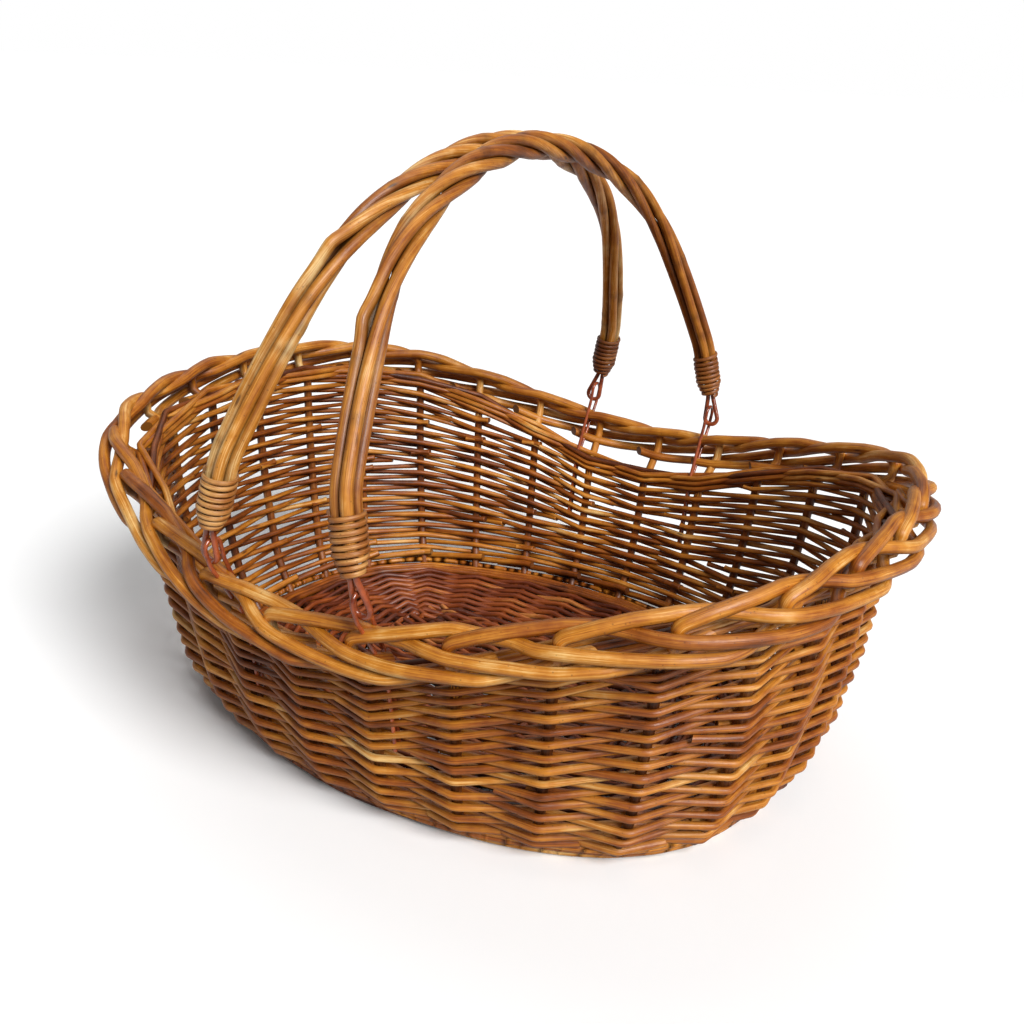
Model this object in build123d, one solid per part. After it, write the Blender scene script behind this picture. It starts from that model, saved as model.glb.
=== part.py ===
from build123d import *
import math
import os
from dataclasses import dataclass

# Oval willow basket with two swing handles, in millimetres.
# It stands on z = 0. X runs along its length, Y across it, Z up.

# Plan of the base and of the rim: ovals of eight tangent arcs, three radii in each quarter.
base_half_length = 181.0
base_half_width = 141.5
base_corner_radius = 97.0
rim_half_length = 227.5
rim_half_width = 186.5
rim_corner_radius = 101.0
end_arc_angle = 20.0
side_arc_angle = 62.0

# Rim line and wall top, seen from the side: a round valley between two straight flanks.
rim_mid_height = 121.5
rim_end_height = 168.5
rim_valley_radius = 317.6
wall_top_mid_drop = 21.5
wall_top_end_drop = 12.9
wall_top_valley_radius = 88.0

# Border: one rod for each stake. It winds once round the rim line over the next four stakes.
border_radius = 12.4
border_rod_gap = 0.5
border_rods_abreast = 4
border_joint_angle = 225
border_joint_gap = 8.4
border_knots_per_spacing = 3

# Woven wall: its outer face curves up from the foot and stands upright at the high ends.
wall_thickness = 10.0
wall_foot_angle = 50.0
wall_shoulder_angle = 13.0
wall_shoulder_height = 39.0
wall_seam = 0.3

# Slots: rows of windows between the stakes, where the weave of the upper wall stands open.
slot_rows = 3
slot_length = 30.0
slot_height = 3.2
slot_margin = 3.0

# Top wale: the two rows of waling that finish the wall.
top_wale_height = 8.0
wall_top_mid_height = rim_mid_height - wall_top_mid_drop
wall_top_end_height = rim_end_height - wall_top_end_drop

# Foot: the ring of waling that the basket stands on.
foot_height = 14.0
foot_width = 14.0

# Woven base and the sticks inside it.
base_bottom_height = 2.0
base_thickness = 12.0
cross_stick_diameter = 8.4
cross_stick_spacing = 48.0
cross_stick_count = 6
long_stick_diameter = 5.6
long_stick_spacing = 17.0
long_stick_count = 3
stick_end_margin = 30.0

# Side stakes: willow rods that run from the base up the wall into the border.
stake_count = 28
stake_diameter = 6.2
stake_lead = 10.0
stake_root_length = 22.0
stake_bend_reach = 8.5
stake_bend_top_height = 22.0
stake_top_inset = 5.2
stake_top_drop = 4.2
tunnel_clearance = 0.15

# Swing handles: four twisted rods on an arch with straight legs.
# Each angle is the lean from upright at the end of one arc; the crown arc ends level.
hinge_half_spacing = 45.5
hinge_overhang = 7.5
hinge_rise = 32.5
arch_height = 181.0
leg_length = 37.0
leg_lean_angle = 6.5
knee_radius = 42.0
knee_angle = 25.0
flank_arc_radius = 490.0
flank_arc_angle = 33.0
shoulder_arc_angle = 62.0
rod_diameter = 5.6
rod_gap = 0.5
rods_in_handle = 4
rod_twist_turns = 2.3
rod_knots = 34
rod_start_height = 18.4
handle_rest_gap = 0.4

# Bindings: one long skein wound round the rod ends, tapering down to the eye.
skein_diameter = 1.8
binding_turns = 9
binding_taper_turns = 3
binding_start_radius = 5.2
binding_pitch = 3.1
binding_start_height = 8.4
binding_clearance = 0.3

# Eyes at the handle ends: a strand bent double, with both legs up in the binding.
eye_wire_diameter = 3.0
eye_leg_gap = 0.34
eye_neck_height = 7.2
eye_neck_radius = 14.0
eye_half_width = 5.4
eye_depth = 12.2
eye_bottom_radius = 4.2
eye_tilt_angle = 15.0
eye_leg_top_gap = 0.3

# Links on the border: a hairpin of cane that carries the eye on its bow.
link_wire_diameter = 2.2
link_bow_half_width = 5.2
link_bow_radius = 4.8
link_foot_half_width = 4.4
link_lean_angle = 16.0
link_straight_length = 14.0
link_strand_half_gap = 1.6
link_bend_radius = 9.0
link_strand_radius = 24.0
link_entry_drop = 8.0
link_tail_drop = 46.0

# Small values of the drawing itself.
overrun = 20.0
tangent_step_share = 0.0005
winding_knots_per_turn = 4
winding_samples_per_turn = 24
wall_section_shares = (0.0, 0.1, 0.22, 0.4, 0.6, 0.8, 1.0)
stake_knot_shares = (0.34, 0.67)

os.makedirs("parts", exist_ok=True)


def save(name, solids):
    """Writes one sub-part, one solid or a group of solids, to its STEP file."""
    group = solids if isinstance(solids, list) else [solids]
    single = []
    for item in group:
        single.extend(item.solids())
    shape = single[0] if len(single) == 1 else Compound(children=single)
    shape.label = name
    export_step(shape, f"parts/{name}.step")


# Ovals

@dataclass(frozen=True)
class Oval:
    """Eight tangent arcs. The same two joint angles serve every oval, so any two can be blended."""

    end_x: float
    end_radius: float
    corner_x: float
    corner_y: float
    corner_radius: float
    side_y: float
    side_radius: float

    @staticmethod
    def sized(half_length, half_width, corner_radius):
        """Solves the end and side radii that give this length and width."""
        a = math.radians(end_arc_angle)
        b = math.radians(side_arc_angle)
        x_left = half_length - corner_radius * (math.cos(a) - math.cos(b))
        y_left = half_width - corner_radius * (math.sin(b) - math.sin(a))
        span = (1 - math.cos(a)) * (1 - math.sin(b)) - math.cos(b) * math.sin(a)
        end_radius = (x_left * (1 - math.sin(b)) - y_left * math.cos(b)) / span
        side_radius = (y_left * (1 - math.cos(a)) - x_left * math.sin(a)) / span
        end_x = half_length - end_radius
        corner_x = end_x + (end_radius - corner_radius) * math.cos(a)
        corner_y = (end_radius - corner_radius) * math.sin(a)
        side_y = half_width - side_radius
        return Oval(end_x, end_radius, corner_x, corner_y, corner_radius, side_y, side_radius)

    def offset(self, distance):
        """The parallel oval, outwards when distance is positive."""
        return Oval(
            self.end_x, self.end_radius + distance,
            self.corner_x, self.corner_y, self.corner_radius + distance,
            self.side_y, self.side_radius + distance,
        )

    def blend(self, other, share):
        """The oval that lies this share of the way to another one."""
        mix = [
            own + share * (its - own)
            for own, its in zip(self.values(), other.values())
        ]
        return Oval(*mix)

    def values(self):
        """The seven numbers that define the oval."""
        return (
            self.end_x, self.end_radius,
            self.corner_x, self.corner_y, self.corner_radius,
            self.side_y, self.side_radius,
        )

    def arcs(self):
        """Centre x, centre y, radius, start angle and sweep of each arc, from the +X end."""
        a = end_arc_angle
        b = side_arc_angle
        turn = b - a
        side = 180 - 2 * b
        return [
            (self.end_x, 0, self.end_radius, -a, 2 * a),
            (self.corner_x, self.corner_y, self.corner_radius, a, turn),
            (0, self.side_y, self.side_radius, b, side),
            (-self.corner_x, self.corner_y, self.corner_radius, 180 - b, turn),
            (-self.end_x, 0, self.end_radius, 180 - a, 2 * a),
            (-self.corner_x, -self.corner_y, self.corner_radius, 180 + a, turn),
            (0, -self.side_y, self.side_radius, 180 + b, side),
            (self.corner_x, -self.corner_y, self.corner_radius, 360 - b, turn),
        ]

    def point(self, angle):
        """The point whose outward normal has this angle in degrees."""
        for centre_x, centre_y, radius, start, sweep in self.arcs():
            if (angle - start) % 360 <= sweep:
                direction = math.radians(angle)
                x = centre_x + radius * math.cos(direction)
                y = centre_y + radius * math.sin(direction)
                return x, y
        raise ValueError("no arc holds this angle")

    def perimeter(self):
        """Length all the way round."""
        return sum(arc[2] * math.radians(arc[4]) for arc in self.arcs())

    def angle_at(self, distance):
        """Normal angle at a distance along the oval, measured from the +X end."""
        left = (distance + self.end_radius * math.radians(end_arc_angle)) % self.perimeter()
        for arc in self.arcs():
            length = arc[2] * math.radians(arc[4])
            if left <= length:
                return arc[3] + math.degrees(left / arc[2])
            left -= length
        raise ValueError("distance lies beyond the oval")

    def face(self, height):
        """The flat face inside the oval at a height."""
        edges = [
            CenterArc((x, y, height), radius, start, sweep)
            for x, y, radius, start, sweep in self.arcs()
        ]
        return make_face(Wire(edges))


base_oval = Oval.sized(base_half_length, base_half_width, base_corner_radius)
rim_oval = Oval.sized(rim_half_length, rim_half_width, rim_corner_radius)

# Saddle surfaces

@dataclass(frozen=True)
class Saddle:
    """A line over the length, straight up at both ends and round in the middle, level across."""

    mid_height: float
    end_height: float
    valley_radius: float

    def slope(self):
        """Angle of the flanks, in radians, that touch the valley and reach the end height."""
        below = self.valley_radius - (self.end_height - self.mid_height)
        far = math.hypot(rim_half_length, below)
        return math.atan2(rim_half_length, below) - math.acos(self.valley_radius / far)

    def height(self, x):
        """Height of the line at a place along the length."""
        radius = self.valley_radius
        reach = radius * math.sin(self.slope())
        centre = self.mid_height + radius
        if abs(x) <= reach:
            return centre - math.sqrt(radius ** 2 - x ** 2)
        return centre - radius * math.cos(self.slope()) + (abs(x) - reach) * math.tan(self.slope())

    def points(self, rise):
        """Two ends, two joints and the bottom of the parallel line at this rise."""
        radius = self.valley_radius - rise
        centre = self.mid_height + self.valley_radius
        joint_x = radius * math.sin(self.slope())
        joint_z = centre - radius * math.cos(self.slope())
        end_x = rim_half_length + border_radius + overrun
        end_z = joint_z + (end_x - joint_x) * math.tan(self.slope())
        bottom = (0, 0, centre - radius)
        return [(-end_x, 0, end_z), (-joint_x, 0, joint_z), bottom, (joint_x, 0, joint_z), (end_x, 0, end_z)]

    def edges(self, rise):
        """The parallel line as a line, an arc and a line."""
        points = self.points(rise)
        return [
            Line(points[0], points[1]),
            ThreePointArc(points[1], points[2], points[3]),
            Line(points[3], points[4]),
        ]


def saddle_band(lower, low, upper, high):
    """The space from one saddle line moved up by low to another moved up by high."""
    below = lower.points(low)
    above = upper.points(high)
    edges = lower.edges(low) + upper.edges(high)
    edges.append(Line(below[0], above[0]))
    edges.append(Line(below[-1], above[-1]))
    reach = rim_half_width + border_radius + overrun
    return extrude(make_face(Wire(edges)), amount=reach, dir=(0, 1, 0), both=True)


rim_line = Saddle(rim_mid_height, rim_end_height, rim_valley_radius)
wall_top_line = Saddle(wall_top_mid_height, wall_top_end_height, wall_top_valley_radius)

# Wall profile

wall_foot = math.radians(wall_foot_angle)
wall_shoulder = math.radians(wall_shoulder_angle)
shoulder_radius = wall_shoulder_height / (math.sin(wall_foot) - math.sin(wall_shoulder))
flank_radius = (wall_top_end_height - wall_shoulder_height) / math.sin(wall_shoulder)
shoulder_reach = shoulder_radius * (math.cos(wall_shoulder) - math.cos(wall_foot))
rim_reach = rim_half_length - base_half_length


def wall_lean(z):
    """Angle of the wall from upright at a height, in radians."""
    if z <= wall_shoulder_height:
        return math.asin(math.sin(wall_foot) - z / shoulder_radius)
    return math.asin(math.sin(wall_shoulder) - (z - wall_shoulder_height) / flank_radius)


def wall_reach(z):
    """How far the wall's outer face has leaned out from the base outline at a height."""
    cosine = math.cos(wall_lean(z))
    if z <= wall_shoulder_height:
        return shoulder_radius * (cosine - math.cos(wall_foot))
    return shoulder_reach + flank_radius * (cosine - math.cos(wall_shoulder))


def wall_oval(z, depth):
    """Outline at a height of the surface that lies this deep in the wall."""
    outer = base_oval.blend(rim_oval, wall_reach(z) / rim_reach)
    return outer.offset(-depth / math.cos(wall_lean(z)))


def wall_solid(depth, low, high):
    """Solid inside the surface that lies this deep in the wall, between two heights."""
    heights = [low + share * (high - low) for share in wall_section_shares]
    return loft([wall_oval(z, depth).face(z) for z in heights])


# Smooth rod paths

def biarc(start, start_way, end, end_way):
    """Two arcs that join two points with the given directions."""
    chord = end - start
    both = start_way + end_way
    bend = 2 * (1 - start_way.dot(end_way))
    along = chord.dot(both)
    if bend < tangent_step_share ** 2:
        reach = chord.dot(chord) / (2 * along)
    else:
        reach = (math.sqrt(along ** 2 + bend * chord.dot(chord)) - along) / bend
    middle = (start + start_way * reach + end - end_way * reach) * 0.5
    first = arc_or_line(start, start_way, middle)
    second = arc_or_line(middle, (middle - (start + start_way * reach)).normalized(), end)
    return [first, second]


def arc_or_line(start, way, end):
    """Arc from start, leaving in direction way, to end, or a line where it would be straight."""
    chord = end - start
    if way.cross(chord.normalized()).length < tangent_step_share:
        return Line(start, end)
    return TangentArc(start, end, tangent=way)


def smooth_path(points, ways):
    """One unbroken wire of arcs through the points."""
    edges = []
    for index in range(len(points) - 1):
        edges.extend(biarc(points[index], ways[index], points[index + 1], ways[index + 1]))
    return Wire(edges)


def rounded_path(points, radii):
    """Straight runs between the points, with an arc of the given radius at each inner point."""
    edges = []
    start = points[0]
    for index, radius in enumerate(radii):
        corner = points[index + 1]
        way_in = (corner - points[index]).normalized()
        way_out = (points[index + 2] - corner).normalized()
        turn = math.acos(max(-1, min(1, way_in.dot(way_out))))
        trim = radius * math.tan(turn / 2)
        arc_start = corner - way_in * trim
        arc_end = corner + way_out * trim
        edges.append(Line(start, arc_start))
        edges.append(TangentArc(arc_start, arc_end, tangent=way_in))
        start = arc_end
    edges.append(Line(start, points[-1]))
    return Wire(edges)


def tube(path, diameter):
    """Round rod of one diameter along a path."""
    section = Plane(origin=path @ 0, z_dir=path % 0) * Circle(diameter / 2)
    return sweep(section, path=path)


# Side stakes

stick_height = base_bottom_height + base_thickness / 2


def wall_middle(angle, z):
    """Point halfway through the wall at a normal angle and a height."""
    x, y = wall_oval(z, wall_thickness / 2).point(angle)
    return Vector(x, y, z)


def wall_way(angle, z):
    """Direction up the wall at that point."""
    step = wall_top_end_height * tangent_step_share
    return (wall_middle(angle, z + step) - wall_middle(angle, z - step)).normalized()


def stake_path(angle):
    """Root in the base, bend at the foot, run up the wall and lean out into the border."""
    bend_top = wall_middle(angle, stake_bend_top_height)
    up = wall_way(angle, stake_bend_top_height)
    corner = bend_top - up * ((stake_bend_top_height - stick_height) / up.Z)
    outward = Vector(up.X, up.Y, 0).normalized()
    bend_start = corner - outward * stake_bend_reach
    root = bend_start - outward * stake_root_length
    rim_x, rim_y = rim_oval.offset(-stake_top_inset).point(angle)
    top = Vector(rim_x, rim_y, rim_line.height(rim_x) - stake_top_drop)
    leave_height = wall_top_line.height(rim_x) - top_wale_height
    points = [root, bend_start, bend_top]
    ways = [outward, outward, up]
    for share in stake_knot_shares + (1.0,):
        z = stake_bend_top_height + share * (leave_height - stake_bend_top_height)
        points.append(wall_middle(angle, z))
        ways.append(wall_way(angle, z))
    points.append(top)
    ways.append((top - points[-2]).normalized())
    return smooth_path(points, ways)


stake_spacing = rim_oval.perimeter() / stake_count
half_turn = Rotation(0, 0, 180)
stake_paths = [
    stake_path(rim_oval.angle_at(index * stake_spacing - stake_lead))
    for index in range(stake_count // 2)
]
near_half = [tube(path, stake_diameter) for path in stake_paths]
near_tunnels = [tube(path, stake_diameter + 2 * tunnel_clearance) for path in stake_paths]
stakes = near_half + [half_turn * stake for stake in near_half]
stake_tunnels = near_tunnels + [half_turn * tunnel for tunnel in near_tunnels]
save("side_stakes", stakes)
print("stake spacing at the rim", round(stake_spacing, 1))

# Hinges, just outside the middle of the border

hinge_height = rim_mid_height + hinge_rise
rim_half_span = rim_oval.side_y + math.sqrt(rim_oval.side_radius ** 2 - hinge_half_spacing ** 2)
hinge_half_span = rim_half_span + hinge_overhang

# Wire links on the border

eye_tilt = math.radians(eye_tilt_angle)
leg_lean = math.radians(leg_lean_angle)
pivot_inset = eye_neck_height * math.sin(eye_tilt) / math.cos(eye_tilt - leg_lean)
pivot_y = hinge_half_span - pivot_inset
link_lean = math.radians(link_lean_angle)


def link_path(x, y_side):
    """Hairpin: a bow above the border, two legs through it and two tails in the wall."""

    def place(side, down):
        """Point in the leaning plane of the bow."""
        y = pivot_y - down * math.sin(link_lean) + side * math.cos(link_lean)
        z = hinge_height - down * math.cos(link_lean) - side * math.sin(link_lean)
        return y, z

    def in_wall(side, z):
        """Point in the middle of the wall beside the other tail."""
        oval = wall_oval(z, wall_thickness / 2)
        angle = math.degrees(math.acos(x / oval.side_radius))
        return oval.point(angle)[1] + side, z

    entry_height = rim_line.height(x) - border_radius - link_entry_drop
    gap = link_strand_half_gap
    outer = [
        in_wall(gap, entry_height - link_tail_drop),
        in_wall(gap, entry_height),
        place(link_foot_half_width, link_straight_length),
        place(link_bow_half_width, 0),
    ]
    inner = [
        place(-link_bow_half_width, 0),
        place(-link_foot_half_width, link_straight_length),
        in_wall(-gap, entry_height),
        in_wall(-gap, entry_height - link_tail_drop),
    ]
    radii = [link_strand_radius, link_bend_radius, link_bow_radius]
    points = [Vector(x, y_side * y, z) for y, z in outer + inner]
    return rounded_path(points, radii + radii[::-1])


link_places = {
    "left_near_link": (-hinge_half_spacing, -1),
    "left_far_link": (-hinge_half_spacing, 1),
    "right_near_link": (hinge_half_spacing, -1),
    "right_far_link": (hinge_half_spacing, 1),
}
link_channels = []
for link_name, (link_x, link_side) in link_places.items():
    path = link_path(link_x, link_side)
    save(link_name, tube(path, link_wire_diameter))
    link_channels.append(tube(path, link_wire_diameter + 2 * tunnel_clearance))

# Base

base_edge = base_oval.offset(-foot_width - wall_seam)
base_plate = extrude(base_edge.face(base_bottom_height), amount=base_thickness)


def stick_offsets(count, spacing):
    """Even places on both sides of the middle."""
    return [(index - (count - 1) / 2) * spacing for index in range(count)]


def cross_stick(x, clearance):
    """Stick across the base, at a place along its length."""
    half = base_edge.side_y + math.sqrt(base_edge.side_radius ** 2 - x ** 2) - stick_end_margin + clearance
    plane = Plane(origin=(x, 0, stick_height), z_dir=(0, 1, 0))
    return extrude(plane * Circle(cross_stick_diameter / 2 + clearance), amount=half, both=True)


def long_stick(y, clearance):
    """Stick along the base, at a place across it."""
    half = base_edge.end_x + math.sqrt(base_edge.end_radius ** 2 - y ** 2) - stick_end_margin + clearance
    plane = Plane(origin=(0, y, stick_height), z_dir=(1, 0, 0))
    return extrude(plane * Circle(long_stick_diameter / 2 + clearance), amount=half, both=True)


cross_places = stick_offsets(cross_stick_count, cross_stick_spacing)
long_places = stick_offsets(long_stick_count, long_stick_spacing)
cross_tunnels = [cross_stick(x, tunnel_clearance) for x in cross_places]
long_tunnels = [long_stick(y, tunnel_clearance) for y in long_places]
save("base_cross_sticks", [cross_stick(x, 0) - long_tunnels for x in cross_places])
save("base_long_sticks", [long_stick(y, 0) for y in long_places])
save("base_weave", base_plate - cross_tunnels - long_tunnels - stake_tunnels)

# Foot

foot = wall_solid(0, 0, foot_height) - extrude(base_oval.offset(-foot_width).face(0), amount=foot_height)
save("foot_wale", foot - stake_tunnels)

# Wall

def wall_shell(low, high):
    """The wall between two heights, with neither its top cut nor its stakes."""
    return wall_solid(0, low, high) - wall_solid(wall_thickness, low, high)


lower_shell = wall_shell(foot_height + wall_seam, wall_shoulder_height)
upper_shell = wall_shell(wall_shoulder_height + wall_seam, wall_top_end_height)
weave_cut = saddle_band(wall_top_line, -top_wale_height - wall_seam, rim_line, rim_end_height)
wale_space = saddle_band(wall_top_line, -top_wale_height, wall_top_line, 0)


def slot_place(bay, row):
    """Point in the middle of the wall on a row of windows, at a number of bays from the first stake."""
    angle = rim_oval.angle_at(bay * stake_spacing - stake_lead)
    top_x = wall_oval(wall_top_mid_height, wall_thickness / 2).point(angle)[0]
    top = wall_top_line.height(top_x) - top_wale_height - slot_margin
    bottom = wall_shoulder_height + slot_margin
    return wall_middle(angle, bottom + (row + 0.5) / slot_rows * (top - bottom))


def slot(bay, row):
    """Cutter for one window, halfway between two stakes."""
    middle = slot_place(bay + 0.5, row)
    along = slot_place(bay + 0.75, row) - slot_place(bay + 0.25, row)
    plane = Plane(origin=middle, x_dir=along, z_dir=along.cross(Vector(0, 0, 1)))
    return plane * Box(slot_length, slot_height, wall_thickness + 2 * slot_margin)


slots = [slot(bay, row) for bay in range(stake_count) for row in range(slot_rows)]
save("side_weave_lower", lower_shell - stake_tunnels - link_channels)
save("side_weave_upper", upper_shell - weave_cut - stake_tunnels - link_channels - slots)
save("top_wale", (upper_shell & wale_space) - stake_tunnels - link_channels)

# Border

neighbour_share = 2 * math.sin(math.pi / border_rods_abreast)
border_circle_radius = (2 * border_radius + border_rod_gap) / (2 + neighbour_share)
border_rod_diameter = 2 * (border_radius - border_circle_radius)


def rim_point(distance):
    """Point of the rim line at a distance round the rim."""
    x, y = rim_oval.point(rim_oval.angle_at(distance))
    return Vector(x, y, rim_line.height(x))


def border_point(stake, travel):
    """Point on the border rod of a stake, after a distance round the rim."""
    distance = stake * stake_spacing - stake_lead + travel
    step = stake_spacing * tangent_step_share
    way = (rim_point(distance + step) - rim_point(distance - step)).normalized()
    side = math.radians(rim_oval.angle_at(distance))
    outward = Vector(math.cos(side), math.sin(side), 0)
    turned_share = travel / (border_rods_abreast * stake_spacing)
    angle = math.radians(border_joint_angle) - 2 * math.pi * turned_share
    spoke = outward * math.cos(angle) + outward.cross(way) * math.sin(angle)
    return rim_point(distance) + spoke * border_circle_radius


def border_rod(stake):
    """Rod that starts beside its own stake and ends beside the fourth one on."""
    first = border_joint_gap / 2
    last = border_rods_abreast * stake_spacing - first
    count = border_rods_abreast * border_knots_per_spacing
    step = stake_spacing * tangent_step_share
    travels = [first + (last - first) * index / count for index in range(count + 1)]
    points = [border_point(stake, travel) for travel in travels]
    ways = [
        (border_point(stake, travel + step) - border_point(stake, travel - step)).normalized()
        for travel in travels
    ]
    rod = tube(smooth_path(points, ways), border_rod_diameter)
    ends = [stake_tunnels[stake], stake_tunnels[(stake + border_rods_abreast) % stake_count]]
    return rod - ends - link_channels


save("rim_border", [border_rod(stake) for stake in range(stake_count)])

# Handles

def turned(radius, start_angle, end_angle):
    """Steps up and inwards along an arc between two leans from upright, in degrees."""
    start = math.radians(start_angle)
    end = math.radians(end_angle)
    return radius * (math.sin(end) - math.sin(start)), radius * (math.cos(start) - math.cos(end))


def crown_radii():
    """Radii of the shoulder and crown arcs that close the arch at its height and span."""
    knee_up, knee_in = turned(knee_radius, leg_lean_angle, knee_angle)
    flank_up, flank_in = turned(flank_arc_radius, knee_angle, flank_arc_angle)
    up = arch_height - leg_length * math.cos(leg_lean) - knee_up - flank_up
    inwards = hinge_half_span - leg_length * math.sin(leg_lean) - knee_in - flank_in
    shoulder_up, shoulder_in = turned(1, flank_arc_angle, shoulder_arc_angle)
    crown_up, crown_in = turned(1, shoulder_arc_angle, 90)
    share = shoulder_up * crown_in - crown_up * shoulder_in
    return (up * crown_in - crown_up * inwards) / share, (shoulder_up * inwards - up * shoulder_in) / share


shoulder_arc_radius, crown_arc_radius = crown_radii()
arch_arcs = [
    (knee_radius, leg_lean_angle, knee_angle),
    (flank_arc_radius, knee_angle, flank_arc_angle),
    (shoulder_arc_radius, flank_arc_angle, shoulder_arc_angle),
    (crown_arc_radius, shoulder_arc_angle, 90),
]
arch_half_length = leg_length + sum(
    radius * math.radians(end - start) for radius, start, end in arch_arcs
)


def arch_frame(distance):
    """Point and outward normal of the arch, from the leg at +Y to the leg at -Y."""
    mirror = 1 if distance <= arch_half_length else -1
    along = min(distance, 2 * arch_half_length - distance)
    straight = min(along, leg_length)
    y = hinge_half_span - straight * math.sin(leg_lean)
    z = straight * math.cos(leg_lean)
    lean = leg_lean_angle
    along -= straight
    for radius, start, end in arch_arcs:
        lean = min(start + math.degrees(along / radius), end)
        rise, inset = turned(radius, start, lean)
        z += rise
        y -= inset
        if lean < end:
            break
        along -= radius * math.radians(end - start)
    normal = math.radians(lean)
    return Vector(0, mirror * y, z), Vector(0, mirror * math.cos(normal), math.sin(normal))


rod_circle_radius = (rod_diameter + rod_gap) / math.sqrt(2)
bundle_radius = rod_circle_radius + rod_diameter / 2
rod_length = 2 * (arch_half_length - rod_start_height)


def rod_point(distance, phase):
    """Point on a rod that winds round the arch between its straight legs."""
    point, normal = arch_frame(distance)
    share = min(max((distance - leg_length) / (2 * (arch_half_length - leg_length)), 0), 1)
    eased = share - math.sin(2 * math.pi * share) / (2 * math.pi)
    angle = math.radians(phase) - 2 * math.pi * rod_twist_turns * eased
    sideways = Vector(rod_circle_radius * math.sin(angle), 0, 0)
    return point + normal * (rod_circle_radius * math.cos(angle)) + sideways


def rod_path(phase):
    """Arcs through evenly spaced points of one handle rod."""
    points = []
    ways = []
    step = rod_length * tangent_step_share
    for knot in range(rod_knots + 1):
        distance = rod_start_height + rod_length * knot / rod_knots
        points.append(rod_point(distance, phase))
        ways.append((rod_point(distance + step, phase) - rod_point(distance - step, phase)).normalized())
    return smooth_path(points, ways)


rest_reach = hinge_half_spacing - bundle_radius - handle_rest_gap / 2
handle_lean = math.degrees(math.asin(rest_reach / arch_height))
left_place = Pos(-hinge_half_spacing, 0, hinge_height) * Rotation(0, handle_lean, 0)
right_place = half_turn * left_place
far_leg = Pos(0, hinge_half_span, 0) * Rotation(leg_lean_angle, 0, 0)
leg_places = {"far": far_leg, "near": half_turn * far_leg}

rods = [tube(rod_path(45 + 360 * index / rods_in_handle), rod_diameter) for index in range(rods_in_handle)]

# Binding

winding_radius = bundle_radius + binding_clearance + skein_diameter / 2


def winding_point(turns):
    """Point on the winding after a number of turns from its tapered start."""
    share = min(turns / binding_taper_turns, 1)
    radius = binding_start_radius + share * (winding_radius - binding_start_radius)
    angle = 2 * math.pi * turns
    height = binding_start_height + binding_pitch * turns
    return Vector(radius * math.cos(angle), radius * math.sin(angle), height)


def winding_way(turns):
    """Direction of the winding there."""
    before = winding_point(max(turns - tangent_step_share, 0))
    after = winding_point(min(turns + tangent_step_share, binding_turns))
    return (after - before).normalized()


knot_count = winding_knots_per_turn * binding_turns
knot_turns = [index / winding_knots_per_turn for index in range(knot_count + 1)]
knots = [winding_point(turns) for turns in knot_turns]
ways = [winding_way(turns) for turns in knot_turns]
tail_in = Line(knots[0] - ways[0] * skein_diameter, knots[0])
tail_out = Line(knots[-1], knots[-1] + ways[-1] * skein_diameter)
winding_wire = Wire([tail_in] + list(smooth_path(knots, ways).edges()) + [tail_out])
binding = tube(winding_wire, skein_diameter)

sample_count = winding_samples_per_turn * binding_turns
samples = [winding_point(index / winding_samples_per_turn) for index in range(sample_count + 1)]
least = min(
    (samples[i] - samples[j]).length
    for i in range(sample_count)
    for j in range(i + winding_samples_per_turn // 2, sample_count)
)
print("least gap in a binding", round(least - skein_diameter, 2))

# Eye

leg_x = (eye_wire_diameter + eye_leg_gap) / 2
leg_top = rod_start_height - eye_leg_top_gap
neck_to_bottom = eye_neck_height + eye_depth
bottom_y = -neck_to_bottom * math.sin(eye_tilt)
bottom_z = eye_neck_height - neck_to_bottom * math.cos(eye_tilt)
eye_points = [
    Vector(-leg_x, 0, leg_top),
    Vector(-leg_x, 0, eye_neck_height),
    Vector(-eye_half_width, bottom_y, bottom_z),
    Vector(eye_half_width, bottom_y, bottom_z),
    Vector(leg_x, 0, eye_neck_height),
    Vector(leg_x, 0, leg_top),
]
eye_radii = [eye_neck_radius, eye_bottom_radius, eye_bottom_radius, eye_neck_radius]
eye = tube(rounded_path(eye_points, eye_radii), eye_wire_diameter)

for side_name, side_place in (("left", left_place), ("right", right_place)):
    for index, rod in enumerate(rods):
        save(f"{side_name}_handle_rod_{index + 1}", side_place * rod)
    for leg_name, leg_place in leg_places.items():
        save(f"{side_name}_{leg_name}_binding", side_place * leg_place * binding)
        save(f"{side_name}_{leg_name}_eye", side_place * leg_place * eye)

print("handle lean at rest", round(handle_lean, 2))
overall_height = hinge_height + arch_height * math.cos(math.radians(handle_lean)) + bundle_radius
print("overall height", round(overall_height, 1))
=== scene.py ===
"""Oval willow basket with two swing handles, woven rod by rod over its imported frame."""
import logging
import math
from dataclasses import dataclass, field
from enum import Enum

import bpy
import numpy as np
from mathutils import Matrix, Vector
from numpy.typing import NDArray


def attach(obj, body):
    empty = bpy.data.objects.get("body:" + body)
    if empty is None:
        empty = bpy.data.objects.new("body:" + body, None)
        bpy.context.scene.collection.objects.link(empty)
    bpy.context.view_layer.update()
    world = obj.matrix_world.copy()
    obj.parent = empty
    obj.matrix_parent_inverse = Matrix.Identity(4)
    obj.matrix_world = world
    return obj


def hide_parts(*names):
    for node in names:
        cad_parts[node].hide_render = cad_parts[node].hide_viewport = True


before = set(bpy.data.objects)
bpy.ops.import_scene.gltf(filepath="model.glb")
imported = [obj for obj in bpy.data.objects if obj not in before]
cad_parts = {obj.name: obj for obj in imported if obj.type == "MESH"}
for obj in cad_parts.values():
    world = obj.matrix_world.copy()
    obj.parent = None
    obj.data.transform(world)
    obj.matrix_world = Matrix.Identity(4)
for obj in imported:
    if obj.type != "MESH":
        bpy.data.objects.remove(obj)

Array = NDArray[np.float64]

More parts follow.
